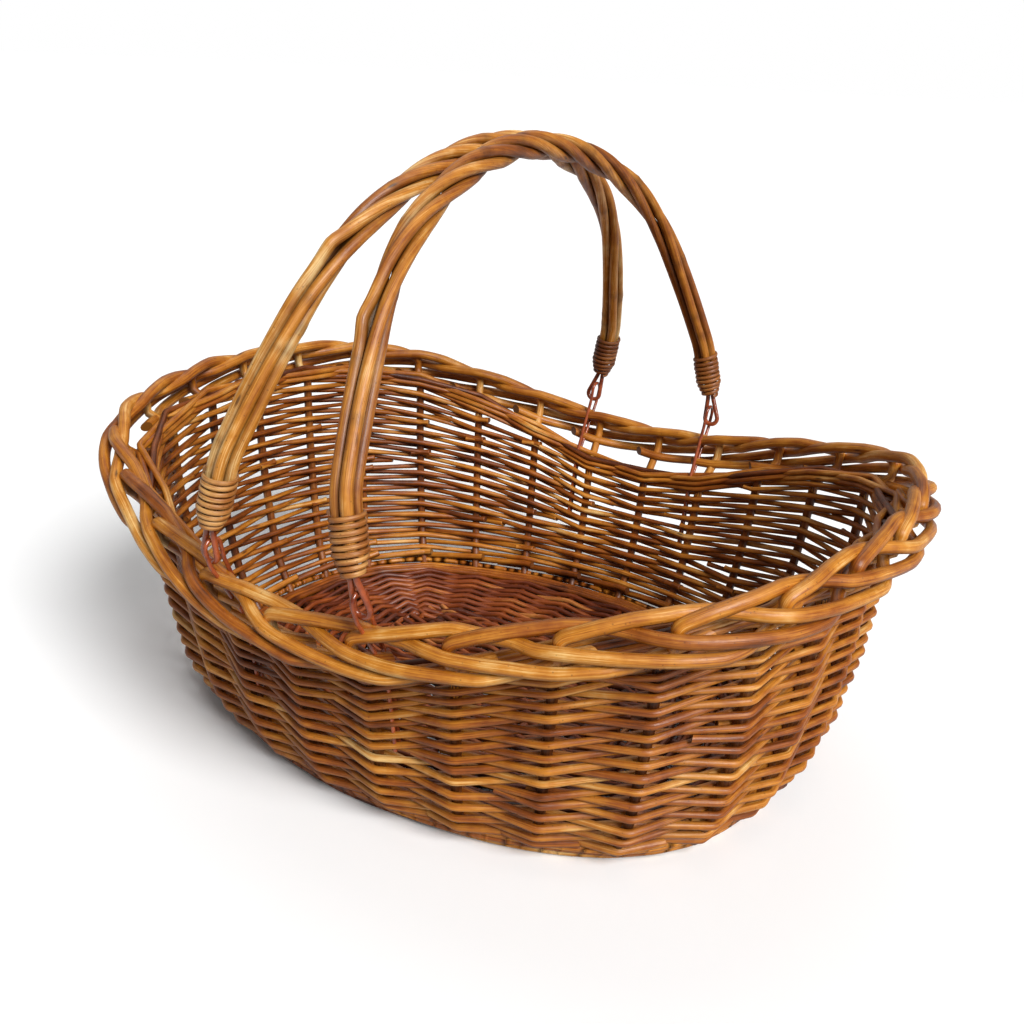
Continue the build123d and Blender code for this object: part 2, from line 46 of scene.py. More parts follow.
MM = 0.001
SEED = 11
BARK_SHIFT = 9.0  # longest shift of a rod in its bark pattern, in metres
LENGTHWAYS = np.array([1.0, 0.0, 0.0])
UPWARDS = np.array([0.0, 0.0, 1.0])
HALF_TURN = np.array([-1, -1, 1])  # about the upright axis
log = logging.getLogger("basket")


def linear(hex_colour: str) -> tuple[float, float, float, float]:
    """Turns an sRGB hex colour into linear RGBA by the sRGB standard's curve.

    Args:
        hex_colour: Six hex digits with a leading hash.

    Returns:
        Linear red, green, blue and an alpha of one.
    """
    parts = [int(hex_colour[i:i + 2], 16) / 255 for i in (1, 3, 5)]
    values = [p / 12.92 if p <= 0.04045 else ((p + 0.055) / 1.055) ** 2.4 for p in parts]
    return values[0], values[1], values[2], 1.0


def emptied(owner: bpy.types.Material | bpy.types.World) -> bpy.types.NodeTree:
    """Switches a material or world to nodes and gives back its empty node tree.

    Args:
        owner: The material or world.

    Returns:
        The empty node tree.
    """
    owner.use_nodes = True
    owner.node_tree.nodes.clear()
    return owner.node_tree


def add_node(tree: bpy.types.NodeTree, kind: str, inputs: dict | None = None,
             **settings: object) -> bpy.types.Node:
    """Adds one node, sets its properties and fills or links its sockets.

    Args:
        tree: Node tree that takes the node.
        kind: Blender's name for the node type.
        inputs: Socket name or number, with a value or an output socket to link.
        settings: Properties of the node.

    Returns:
        The new node.
    """
    node = tree.nodes.new(kind)
    for key, value in settings.items():
        setattr(node, key, value)
    for key, value in (inputs or {}).items():
        if isinstance(value, bpy.types.NodeSocket):
            tree.links.new(value, node.inputs[key])
        else:
            node.inputs[key].default_value = value
    return node


def dress(node: str, material: bpy.types.Material) -> None:
    """Gives a node of the frame its material in place of the plain one.

    Args:
        node: Name of the node.
        material: Its material from now on.
    """
    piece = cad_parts[node]
    if piece.material_slots:
        for slot in piece.material_slots:
            slot.material = material
    else:
        piece.data.materials.append(material)
    log.info("dressed %s", node)


# Shape of the basket

@dataclass(frozen=True)
class Oval:
    """Oval of eight tangent arcs, in millimetres, with the same joint angles for every size."""

    half_length: float
    half_width: float
    corner_radius: float
    end_angle: float = 20.0
    side_angle: float = 62.0

    def radii(self) -> tuple[float, float]:
        """End and side radii that give this length and width.

        Returns:
            The end radius and the side radius.
        """
        a, b = np.radians(self.end_angle), np.radians(self.side_angle)
        x_left = self.half_length - self.corner_radius * (np.cos(a) - np.cos(b))
        y_left = self.half_width - self.corner_radius * (np.sin(b) - np.sin(a))
        span = (1 - np.cos(a)) * (1 - np.sin(b)) - np.cos(b) * np.sin(a)
        end = (x_left * (1 - np.sin(b)) - y_left * np.cos(b)) / span
        side = (y_left * (1 - np.cos(a)) - x_left * np.sin(a)) / span
        return end, side

    def point(self, angle: Array, offset: Array | float = 0.0) -> tuple[Array, Array]:
        """Point whose outward normal has this angle, moved out by offset.

        Args:
            angle: Normal angles in degrees.
            offset: Distance outwards.

        Returns:
            The x and y of each point: arc centre plus radius times the normal.
        """
        end, side = self.radii()
        a = np.radians(self.end_angle)
        turn = np.radians(angle)
        folded = np.degrees(np.arctan2(np.abs(np.sin(turn)), np.abs(np.cos(turn))))
        corner_x = self.half_length - end + (end - self.corner_radius) * np.cos(a)
        corner_y = (end - self.corner_radius) * np.sin(a)
        at_end, at_corner = folded <= self.end_angle, folded <= self.side_angle
        centre_x = np.where(at_end, self.half_length - end, np.where(at_corner, corner_x, 0))
        centre_y = np.where(at_end, 0, np.where(at_corner, corner_y, self.half_width - side))
        radius = np.where(at_end, end, np.where(at_corner, self.corner_radius, side)) + offset
        quarter = np.radians(folded)
        x = np.sign(np.cos(turn)) * (centre_x + radius * np.cos(quarter))
        y = np.sign(np.sin(turn)) * (centre_y + radius * np.sin(quarter))
        return x, y

    def lengths(self) -> tuple[Array, Array]:
        """Distance round the oval at each arc joint, and the joints' normal angles.

        Returns:
            Distances, and angles in degrees.
        """
        end, side = self.radii()
        a, b = self.end_angle, self.side_angle
        joints = np.array([-a, a, b, 180 - b, 180 - a, 180 + a, 180 + b, 360 - b, 360 - a])
        radius = np.array([end, self.corner_radius, side, self.corner_radius] * 2)
        return np.r_[0, np.cumsum(radius * np.radians(np.diff(joints)))], joints

    def perimeter(self) -> float:
        """Length all the way round."""
        return float(self.lengths()[0][-1])

    def angle_at(self, distance: Array) -> Array:
        """Normal angle at a distance along the oval from its +X end.

        Args:
            distance: Distances along the oval, of any number of laps.

        Returns:
            Angles in degrees, 360 more with every lap.
        """
        reach, joints = self.lengths()
        start = self.radii()[0] * np.radians(self.end_angle)
        laps = np.floor((distance + start) / reach[-1])
        return np.interp(distance + start - laps * reach[-1], reach, joints) + 360 * laps


@dataclass(frozen=True)
class Saddle:
    """Height line over the length: straight at both ends, round in the middle."""

    mid: float
    end: float
    valley_radius: float
    reach: float = 227.5

    def slope(self) -> float:
        """Slope of the flanks, which touch the valley's arc and meet the end height.

        Returns:
            The slope's angle in radians.
        """
        level = self.valley_radius - (self.end - self.mid)
        far = math.hypot(self.reach, level)
        return math.atan2(self.reach, level) - math.acos(self.valley_radius / far)

    def height(self, x: Array) -> Array:
        """Height at each x: an arc near the middle, then a straight flank.

        Args:
            x: Distances along the basket from its middle.

        Returns:
            The heights.
        """
        slope = self.slope()
        joint = self.valley_radius * math.sin(slope)
        far = np.abs(x)
        sag = np.sqrt(self.valley_radius ** 2 - np.minimum(far, joint) ** 2)
        return self.mid + self.valley_radius - sag + np.maximum(far - joint, 0) * math.tan(slope)


@dataclass(frozen=True)
class BasketForm:
    """Every shared measure of the basket, in millimetres."""

    base: Oval = Oval(181.0, 141.5, 97.0)
    rim: Oval = Oval(227.5, 186.5, 101.0)
    rim_line: Saddle = Saddle(121.5, 168.5, 317.6)
    wall_drop: float = 5.0
    valley_drop: float = 14.0
    valley: tuple = (10.0, 168.0)
    foot_angle: float = 50.0
    shoulder_angle: float = 13.0
    shoulder_height: float = 39.0
    wall_end_height: float = 155.6
    wall_thickness: float = 10.0
    stakes: int = 28
    stake_lead: float = 10.0

    def _arcs(self) -> tuple[float, float, float, float]:
        """The wall's lean at the foot and at the shoulder, and the radii below and above it.

        Returns:
            Two angles in radians, then two radii.
        """
        foot, shoulder = np.radians(self.foot_angle), np.radians(self.shoulder_angle)
        low_radius = self.shoulder_height / (np.sin(foot) - np.sin(shoulder))
        high_radius = (self.wall_end_height - self.shoulder_height) / np.sin(shoulder)
        return foot, shoulder, low_radius, high_radius

    def lean(self, z: Array) -> Array:
        """Angle of the wall from upright at each height: two arcs, one above the other.

        Args:
            z: Heights.

        Returns:
            Angles in radians.
        """
        foot, shoulder, low_radius, high_radius = self._arcs()
        low = np.sin(foot) - z / low_radius
        high = np.sin(shoulder) - (z - self.shoulder_height) / high_radius
        return np.arcsin(np.clip(np.where(z <= self.shoulder_height, low, high), -1, 1))

    def reach(self, z: Array) -> Array:
        """How far the outer face leans out from the base outline at each height.

        Args:
            z: Heights.

        Returns:
            Distances outwards.
        """
        foot, shoulder, low_radius, high_radius = self._arcs()
        cosine = np.cos(self.lean(z))
        low = low_radius * (cosine - np.cos(foot))
        shoulder_reach = low_radius * (np.cos(shoulder) - np.cos(foot))
        high = shoulder_reach + high_radius * (cosine - np.cos(shoulder))
        return np.where(z <= self.shoulder_height, low, high)

    def wall(self, angle: Array, z: Array, out: Array | float = 0.0) -> tuple[Array, Array]:
        """Point of the wall's middle surface, moved out, and its outward normal.

        Args:
            angle: Normal angles in plan, in degrees.
            z: Heights.
            out: Distance outwards from the middle of the wall, along its normal.

        Returns:
            Points and unit normals, both n by 3: the base outline blended towards the rim's.
        """
        share = self.reach(z) / (self.rim.half_length - self.base.half_length)
        lean = self.lean(z)
        depth = -0.5 * self.wall_thickness / np.cos(lean)
        base_x, base_y = self.base.point(angle, depth)
        rim_x, rim_y = self.rim.point(angle, depth)
        middle = np.stack([
            base_x + share * (rim_x - base_x), base_y + share * (rim_y - base_y), z + 0 * angle,
        ], axis=-1)
        turn = np.radians(angle)
        normal = np.stack([
            np.cos(turn) * np.cos(lean), np.sin(turn) * np.cos(lean), -np.sin(lean),
        ], axis=-1)
        return middle + np.asarray(out)[..., None] * normal, normal

    def border(self, angle: Array, out: Array, up: Array) -> tuple[Array, Array]:
        """Point beside the middle of the border, and the level outward normal there.

        Args:
            angle: Normal angles in plan, in degrees.
            out: Distances outwards from the middle of the border.
            up: Distances upwards from it.

        Returns:
            Points and unit normals, both n by 3.
        """
        centre_x, _ = self.rim.point(angle)
        x, y = self.rim.point(angle, out)
        turn = np.radians(angle)
        point = np.stack([x, y, self.rim_line.height(centre_x) + up], axis=-1)
        return point, np.stack([np.cos(turn), np.sin(turn), 0 * turn], axis=-1)

    def spacing(self) -> float:
        """Distance between stakes along the rim."""
        return self.rim.perimeter() / self.stakes

    def stake_angle(self, index: Array) -> Array:
        """Normal angle of a stake, or of a place between two stakes."""
        return self.rim.angle_at(np.asarray(index, float) * self.spacing() - self.stake_lead)

    def wall_height(self, angle: Array) -> Array:
        """Height of the wall's top at a stake: a set drop under the border, more in the middle.

        The extra drop is full up to the first distance from the middle, gone at the second,
        and falls between them as 1 - 3t^2 + 2t^3.

        Args:
            angle: Normal angles in degrees.

        Returns:
            The heights.
        """
        x, _ = self.rim.point(angle)
        near, far = self.valley
        t = np.clip((np.abs(x) - near) / (far - near), 0, 1)
        extra_drop = self.valley_drop * (1 - t * t * (3 - 2 * t))
        return self.rim_line.height(x) - self.wall_drop - extra_drop


# Rods as meshes

# Places along a kinked path: on the round at each corner, then on the run that follows it.
ROUND_STEPS = np.array([0.0, 0.25, 0.5, 0.75, 1.0])
RUN_STEPS = np.array([0.28, 0.5, 0.72])


def smooth_through(knots: Array, values: Array, places: Array) -> Array:
    """Cubic curve through knots, with the slope at each knot taken from its neighbours.

    Args:
        knots: Rising positions of the knots.
        values: One row for each knot.
        places: Positions to read.

    Returns:
        One row for each place.
    """
    slopes = np.gradient(values, knots, axis=0)
    index = np.clip(np.searchsorted(knots, places, side="right") - 1, 0, len(knots) - 2)
    width = (knots[index + 1] - knots[index])[:, None]
    t = (places - knots[index])[:, None] / width
    start, end = values[index], values[index + 1]
    return (
        (1 + 2 * t) * (1 - t) ** 2 * start + t * (1 - t) ** 2 * width * slopes[index]
        + t ** 2 * (3 - 2 * t) * end + t ** 2 * (t - 1) * width * slopes[index + 1]
    )


def kinked(corners: Array, normals: Array, closed: bool = False,
           round_share: float = 0.06) -> tuple[Array, Array]:
    """Straight runs between corners, with a small round at each one.

    A corner is the quadratic curve (1-t)^2 a + 2t(1-t) p + t^2 b between the points
    a and b that lie round_share of a run before and after the corner p.

    Args:
        corners: Corner points.
        normals: Normal at each corner.
        closed: Whether the last run goes back to the first corner.
        round_share: Part of a run that the round takes.

    Returns:
        Points of the path and a normal at each.
    """
    before, after = np.roll(corners, 1, axis=0), np.roll(corners, -1, axis=0)
    if not closed:
        before[0], after[-1] = corners[0], corners[-1]
    t, f = ROUND_STEPS[None, :, None], RUN_STEPS[None, :, None]
    corner, normal = corners[:, None], normals[:, None]
    first = corners + round_share * (before - corners)
    last = corners + round_share * (after - corners)
    bend = (1 - t) ** 2 * first[:, None] + 2 * t * (1 - t) * corner + t ** 2 * last[:, None]
    run = (1 - f) * corner + f * after[:, None]
    bend_normal = np.repeat(normal, len(ROUND_STEPS), axis=1)
    run_normal = (1 - f) * normal + f * np.roll(normals, -1, axis=0)[:, None]
    points = np.concatenate([bend, run], axis=1).reshape(-1, 3)
    frames = np.concatenate([bend_normal, run_normal], axis=1).reshape(-1, 3)
    kept = len(points) if closed else len(points) - len(RUN_STEPS)
    return points[:kept], frames[:kept]


def on_runs(values: tuple[float, ...], corner_count: int) -> Array:
    """One at the corners of an open kinked path, and these values along each of its runs."""
    return np.tile([1.0] * len(ROUND_STEPS) + list(values), corner_count)[:-len(RUN_STEPS)]


def turned(points: Array, first: int, second: int, degrees: float) -> Array:
    """Points turned in a plane: p' = p cos a - q sin a and q' = p sin a + q cos a.

    Args:
        points: Points or directions, n by 3.
        first: Number of the axis p.
        second: Number of the axis q.
        degrees: The angle a, in degrees.

    Returns:
        New points.
    """
    a = np.radians(degrees)
    moved = points.copy()
    moved[:, first] = points[:, first] * np.cos(a) - points[:, second] * np.sin(a)
    moved[:, second] = points[:, first] * np.sin(a) + points[:, second] * np.cos(a)
    return moved


def drawn_tone(random: np.random.Generator, middle: float, spread: float,
               low: float = 0.1, high: float = 0.9) -> float:
    """Tone of one rod: a normal draw, kept between two limits."""
    return float(np.clip(random.normal(middle, spread), low, high))


class PaintedShade(Enum):
    """Painted shade on the sides of a rod that lie against its neighbours, above, below and behind
    it.

    The values are the brightness above, below and behind the rod.
    """

    NOWHERE = (1.0, 1.0, 1.0)
    EDGES = (0.85, 0.25, 1.0)
    UNDERSIDE = (1.0, 1.0, 0.25)

    def light(self, turn: Array) -> Array:
        """Painted shade round the rod: full brightness along its normal, less above, below and
        behind it.

        Args:
            turn: Angles round the rod, with the normal at a quarter turn.

        Returns:
            One row of brightness values.
        """
        above, below, behind = self.value
        fall_above, fall_below, fall_behind = 3, 1.6, 0.8
        down = np.cos(turn)
        low = 1 - (1 - below) * np.abs(down) ** fall_below
        high = 1 - (1 - above) * np.abs(down) ** fall_above
        back = behind + (1 - behind) * (0.5 + 0.5 * np.sin(turn)) ** fall_behind
        return (np.where(down > 0, low, high) * back)[None, :]


@dataclass
class RodBundle:
    """Collects rods, each a circle carried along a path, and makes them one mesh."""

    sides: int = 10
    cut_shade: float = 0.34
    points: list = field(default_factory=list)
    faces: list = field(default_factory=list)
    ends: list = field(default_factory=list)
    uvs: list = field(default_factory=list)
    tones: list = field(default_factory=list)
    shades: list = field(default_factory=list)
    count: int = 0

    def add(self, path: Array, normal: Array, radius: Array | float, tone: Array | float,
            start: float, painted_shade: PaintedShade, closed: bool = False, shade: Array | float = 1.0,
            flat: Array | float = 1.0, slant: float = 0.0) -> None:
        """Adds one rod: ring point = path + radius (cos v side + flat sin v normal).

        Args:
            path: Points along the rod, in millimetres.
            normal: A direction across the rod at each point.
            radius: Radius at each point.
            tone: Colour place of the rod, nought to one, at each point.
            start: Where the rod starts in its bark pattern, in metres.
            painted_shade: Which sides of the rod lie against others and get painted shade.
            closed: Whether the rod joins its own start.
            shade: Brightness at each point, one for plain; it carries painted shade and, on the
                handles, darker buds.
            flat: Thickness along the normal over thickness across it.
            slant: Slope of the cut ends, as a rise over half the rod's thickness.
        """
        n, m = len(path), self.sides
        ahead = np.roll(path, -1, axis=0) - np.roll(path, 1, axis=0)
        if not closed:
            ahead[0], ahead[-1] = path[1] - path[0], path[-1] - path[-2]
        way = ahead / np.linalg.norm(ahead, axis=1, keepdims=True)
        side = np.cross(way, normal)
        side /= np.linalg.norm(side, axis=1, keepdims=True)
        up = np.cross(side, way)
        radius = np.broadcast_to(np.asarray(radius, float), (n,))
        depth = np.broadcast_to(np.asarray(flat, float), (n,))[:, None, None]
        turn = np.arange(m) * 2 * np.pi / m
        across = np.cos(turn)[None, :, None] * side[:, None]
        ring = across + depth * np.sin(turn)[None, :, None] * up[:, None]
        verts = path[:, None] + radius[:, None, None] * ring
        if not closed:
            slope = slant * np.sin(turn)[:, None]
            verts[0] -= radius[0] * slope * way[0]
            verts[-1] += radius[-1] * slope * way[-1]
        rows = n if closed else n - 1
        i, j = np.meshgrid(np.arange(rows), np.arange(m), indexing="ij")
        k, l = (i + 1) % n, (j + 1) % m
        quads = np.stack([i * m + j, i * m + l, k * m + l, k * m + j], axis=-1).reshape(-1, 4)
        steps = np.linalg.norm(np.diff(path, axis=0), axis=1)
        along = np.r_[0, np.cumsum(steps)] * MM + start
        total = along[-1] + np.linalg.norm(path[0] - path[-1]) * MM
        ends_at = np.where(i + 1 < n, along[k], total)
        width = 2 * np.pi * float(radius.mean()) * MM / m
        uv = np.stack([
            np.stack([along[i], along[i], ends_at, ends_at], axis=-1),
            np.stack([j * width, (j + 1) * width, (j + 1) * width, j * width], axis=-1),
        ], axis=-1).reshape(-1, 2)
        tone = np.repeat(np.broadcast_to(np.asarray(tone, float), (n,)), m)
        # Painted shade: the rod's brightness times its darkening round the ring.
        shade = np.broadcast_to(np.asarray(shade, float), (n,))[:, None] * painted_shade.light(turn)
        self.points.append(verts.reshape(-1, 3))
        self.faces.append(quads + self.count)
        self.uvs.append(uv)
        self.tones.append(tone)
        self.shades.append(shade.ravel())
        self.count += n * m
        if not closed:
            self._cap(verts[0][::-1], tone[0])
            self._cap(verts[-1], tone[-1])

    def _cap(self, ring: Array, tone: float) -> None:
        """Closes a cut end with one flat face of its own corners, darker than the bark.

        Args:
            ring: Corners of the end, ordered so that the face looks outwards.
            tone: Colour place of the rod.
        """
        m = self.sides
        self.points.append(ring)
        self.ends.append(np.arange(self.count, self.count + m))
        self.tones.append(np.full(m, tone))
        self.shades.append(np.full(m, self.cut_shade))
        self.count += m

    def build(self, name: str, material: bpy.types.Material) -> bpy.types.Object:
        """Makes the mesh, its UV map in metres and its two attributes.

        Args:
            name: Name of the piece.
            material: Its material.

        Returns:
            The new object, at the origin.
        """
        mesh = bpy.data.meshes.new(name)
        verts = np.concatenate(self.points) * MM
        quads = np.concatenate(self.faces)
        faces = quads.tolist() + [end.tolist() for end in self.ends]
        mesh.from_pydata(verts.tolist(), [], faces)
        smooth = np.r_[np.ones(len(quads), bool), np.zeros(len(self.ends), bool)]
        mesh.polygons.foreach_set("use_smooth", smooth)
        layer = mesh.uv_layers.new(name="bark")
        uv = np.concatenate(self.uvs + [np.zeros((len(self.ends) * self.sides, 2))])
        layer.data.foreach_set("uv", uv.ravel())
        for label, values in (("tone", self.tones), ("shade", self.shades)):
            attribute = mesh.attributes.new(name=label, type="FLOAT", domain="POINT")
            attribute.data.foreach_set("value", np.concatenate(values))
        mesh.update()
        piece = bpy.data.objects.new(name, mesh)
        bpy.context.scene.collection.objects.link(piece)
        mesh.materials.append(material)
        return piece


# Finishes

@dataclass(frozen=True)
class WillowFinish:
    """Willow rod, buffed, boiled or peeled, under a brown varnish.

    The fibres run along the rod as fine streaks over broader bands, the varnish pools in
    blotches, small specks are dotted over it, and buds leave dark scars. The eye sees a
    satin orange-brown that differs from rod to rod, with painted shade where rods touch.

    Fibres and bands are given as length, width and octaves; specks and buds as distance
    along the rod, distance round it, size as a share of those, and brightness. The weights
    are those of the rod's tone, its fibres, bands and blotches, and level is added to them.
    """

    name: str
    dark: str
    brown: str
    honey: str
    pale: str
    # Colour of the painted shade where rods touch and under them, mixed in by the shade attribute.
    crevice_shade: str = "#160802"
    stops: tuple = (0.20, 0.44, 0.65, 0.84)
    fibre: tuple = (16.0, 0.42, 4.0)
    band: tuple = (55.0, 1.5, 2.0)
    blotch: float = 30.0
    speck: tuple = (3.2, 3.2, 0.16, 0.55)
    bud: tuple = (42.0, 9.0, 0.10, 0.30)
    weights: tuple = (0.75, 0.55, 0.45, 0.75)
    level: float = -0.72
    roughness: tuple = (0.32, 0.54)
    relief: float = 0.4

    @staticmethod
    def _stretched(tree: bpy.types.NodeTree, uv: bpy.types.NodeSocket, length: float,
                   width: float, detail: float) -> bpy.types.NodeSocket:
        """Noise drawn out along the rod.

        Args:
            tree: Node tree of the material.
            uv: Bark coordinates in metres.
            length: Size of the grain along the rod, in millimetres.
            width: Size of the grain round the rod, in millimetres.
            detail: Octaves of the noise.

        Returns:
            The noise, round a half.
        """
        place = add_node(tree, "ShaderNodeMapping", {
            "Vector": uv, "Scale": (1 / (length * MM), 1 / (width * MM), 1),
        })
        return add_node(tree, "ShaderNodeTexNoise", {
            "Vector": place.outputs[0], "Scale": 1.0, "Detail": detail, "Roughness": 0.6,
        }).outputs["Fac"]

    @staticmethod
    def _spots(tree: bpy.types.NodeTree, uv: bpy.types.NodeSocket, along: float, around: float,
               size: float, low: float) -> bpy.types.NodeSocket:
        """Small dark spots scattered over the bark.

        Args:
            tree: Node tree of the material.
            uv: Bark coordinates in metres.
            along: Distance between spots along the rod, in millimetres.
            around: Distance between spots round the rod, in millimetres.
            size: Size of a spot, as a share of those distances.
            low: Brightness inside a spot.

        Returns:
            Brightness, one between the spots.
        """
        core = 0.4 * size
        place = add_node(tree, "ShaderNodeMapping", {
            "Vector": uv, "Scale": (1 / (along * MM), 1 / (around * MM), 1),
        })
        near = add_node(tree, "ShaderNodeTexVoronoi", {
            "Vector": place.outputs[0], "Scale": 1.0, "Randomness": 1.0,
        }).outputs["Distance"]
        return add_node(tree, "ShaderNodeMapRange", {
            "Value": near, "From Min": core, "From Max": size, "To Min": low, "To Max": 1.0,
        }).outputs[0]

    def build(self) -> bpy.types.Material:
        """Makes the material from the bark UV map, which is in metres, and the attributes.

        Returns:
            The new material.
        """
        material = bpy.data.materials.new(self.name)
        tree = emptied(material)
        uv = add_node(tree, "ShaderNodeUVMap", uv_map="bark").outputs["UV"]
        place = add_node(tree, "ShaderNodeTexCoord").outputs["Object"]
        tone, shade = [
            add_node(tree, "ShaderNodeAttribute", attribute_name=label).outputs["Fac"]
            for label in ("tone", "shade")
        ]
        streak = self._stretched(tree, uv, *self.fibre)
        band = self._stretched(tree, uv, *self.band)
        blotch = add_node(tree, "ShaderNodeTexNoise", {
            "Vector": place, "Scale": 1 / (self.blotch * MM), "Detail": 4.0, "Roughness": 0.6,
        }).outputs["Fac"]
        specks = self._spots(tree, uv, *self.speck)
        buds = self._spots(tree, uv, *self.bud)
        level = self.level
        for source, weight in zip((tone, streak, band, blotch), self.weights):
            level = add_node(tree, "ShaderNodeMath", {0: source, 1: weight, 2: level},
                             operation="MULTIPLY_ADD").outputs[0]
        ramp = add_node(tree, "ShaderNodeValToRGB", {"Fac": level})
        stops = ramp.color_ramp.elements
        stops[0].position, stops[0].color = self.stops[0], linear(self.dark)
        stops[1].position, stops[1].color = self.stops[3], linear(self.pale)
        stops.new(self.stops[1]).color = linear(self.brown)
        stops.new(self.stops[2]).color = linear(self.honey)
        marks = add_node(tree, "ShaderNodeMath", {0: specks, 1: buds}, operation="MULTIPLY")
        # Painted shade from the shade attribute, times the real specks and bud scars, mixes in the
        # dark colour.
        light = add_node(tree, "ShaderNodeMath", {0: shade, 1: marks.outputs[0]},
                         operation="MULTIPLY", use_clamp=True)
        colour = add_node(tree, "ShaderNodeMix", {
            "Factor": light.outputs[0], 6: linear(self.crevice_shade), 7: ramp.outputs[0],
        }, data_type="RGBA")
        rough = add_node(tree, "ShaderNodeMapRange", {
            "Value": band, "From Min": 0.3, "From Max": 0.7,
            "To Min": self.roughness[0], "To Max": self.roughness[1],
        }).outputs[0]
        relief = add_node(tree, "ShaderNodeMath", {0: streak, 1: band}, operation="ADD")
        bump = add_node(tree, "ShaderNodeBump", {
            "Height": relief.outputs[0], "Strength": 0.6, "Distance": self.relief * MM,
        })
        shader = add_node(tree, "ShaderNodeBsdfPrincipled", {
            "Base Color": colour.outputs[2], "Roughness": rough, "Normal": bump.outputs[0],
            "Specular IOR Level": 0.45, "Coat Weight": 0.14, "Coat Roughness": 0.24,
        })
        add_node(tree, "ShaderNodeOutputMaterial", {"Surface": shader.outputs[0]})
        return material


@dataclass(frozen=True)
class CaneFinish:
    """Thin cane, soaked, bent and varnished red-brown: smooth, glossy and nearly plain."""

    name: str = "red_brown_varnished_cane"
    dark: str = "#6A2812"
    light: str = "#B4582E"
    stops: tuple = (0.32, 0.70)
    patch: float = 9.0
    roughness: tuple = (0.18, 0.30)
    relief: float = 0.2

    def build(self) -> bpy.types.Material:
        """Makes the material on Object coordinates, with patches a few millimetres long.

        Returns:
            The new material.
        """
        material = bpy.data.materials.new(self.name)
        tree = emptied(material)
        place = add_node(tree, "ShaderNodeTexCoord").outputs["Object"]
        patch = add_node(tree, "ShaderNodeTexNoise", {
            "Vector": place, "Scale": 1 / (self.patch * MM), "Detail": 4.0, "Roughness": 0.6,
        }).outputs["Fac"]
        ramp = add_node(tree, "ShaderNodeValToRGB", {"Fac": patch})
        for stop, position, colour in zip(
                ramp.color_ramp.elements, self.stops, (self.dark, self.light)):
            stop.position, stop.color = position, linear(colour)
        rough = add_node(tree, "ShaderNodeMapRange", {
            "Value": patch, "From Min": 0.3, "From Max": 0.7,
            "To Min": self.roughness[0], "To Max": self.roughness[1],
        }).outputs[0]
        bump = add_node(tree, "ShaderNodeBump", {
            "Height": patch, "Strength": 0.25, "Distance": self.relief * MM,
        })
        shader = add_node(tree, "ShaderNodeBsdfPrincipled", {
            "Base Color": ramp.outputs[0], "Roughness": rough, "Normal": bump.outputs[0],
            "Coat Weight": 0.6, "Coat Roughness": 0.12,
        })
        add_node(tree, "ShaderNodeOutputMaterial", {"Surface": shader.outputs[0]})
        return material


class Finish(Enum):
    """The finishes on the basket."""

    WEAVER = WillowFinish("buffed_willow_weaver", "#4A1C03", "#9A4E0C", "#D08426", "#F4C67C")
    # Darker and redder than the weavers: its own red-brown, with painted shade of the basket's
    # inside floor.
    BASE = WillowFinish(
        "buffed_willow_base_weaver", "#280B02", "#6A2907", "#9A4A17", "#CC8440")
    STAKE = WillowFinish("buffed_willow_stake", "#421804", "#8A4610", "#B87430", "#DCA860")
    BORDER = WillowFinish(
        "buffed_willow_border_rod", "#4A1C03", "#9C520C", "#D08626", "#F6CA80")
    HANDLE = WillowFinish(
        "buffed_willow_handle_rod", "#481B03", "#96500E", "#C8822A", "#F4CE8C")
    SKEIN = WillowFinish(
        "split_willow_skein", "#2C1004", "#6C3410", "#A66428", "#E2AC66",
        fibre=(16.0, 0.3, 4.0))
    CANE = CaneFinish()

    def material(self) -> bpy.types.Material:
        """The material, made once."""
        return bpy.data.materials.get(self.value.name) or self.value.build()


# The basket

# Route of a border rod: stakes passed, distance out and distance up from the border's middle.
BORDER_ROUTE = np.array([
    (0.00, 0.8, 4.2), (0.30, 0.2, 7.0), (0.60, -1.4, 8.3), (1.00, -4.0, 8.0), (1.30, -4.2, 5.6),
    (1.60, -1.2, 2.6), (1.80, 3.4, 1.0), (2.00, 6.2, -0.4), (2.50, 7.7, -4.6), (3.00, 7.8, -8.6),
    (3.40, 6.6, -11.2), (3.65, 2.6, -11.4), (3.85, -2.4, -10.4), (4.05, -6.0, -9.4),
    (4.35, -8.2, -8.2),
])


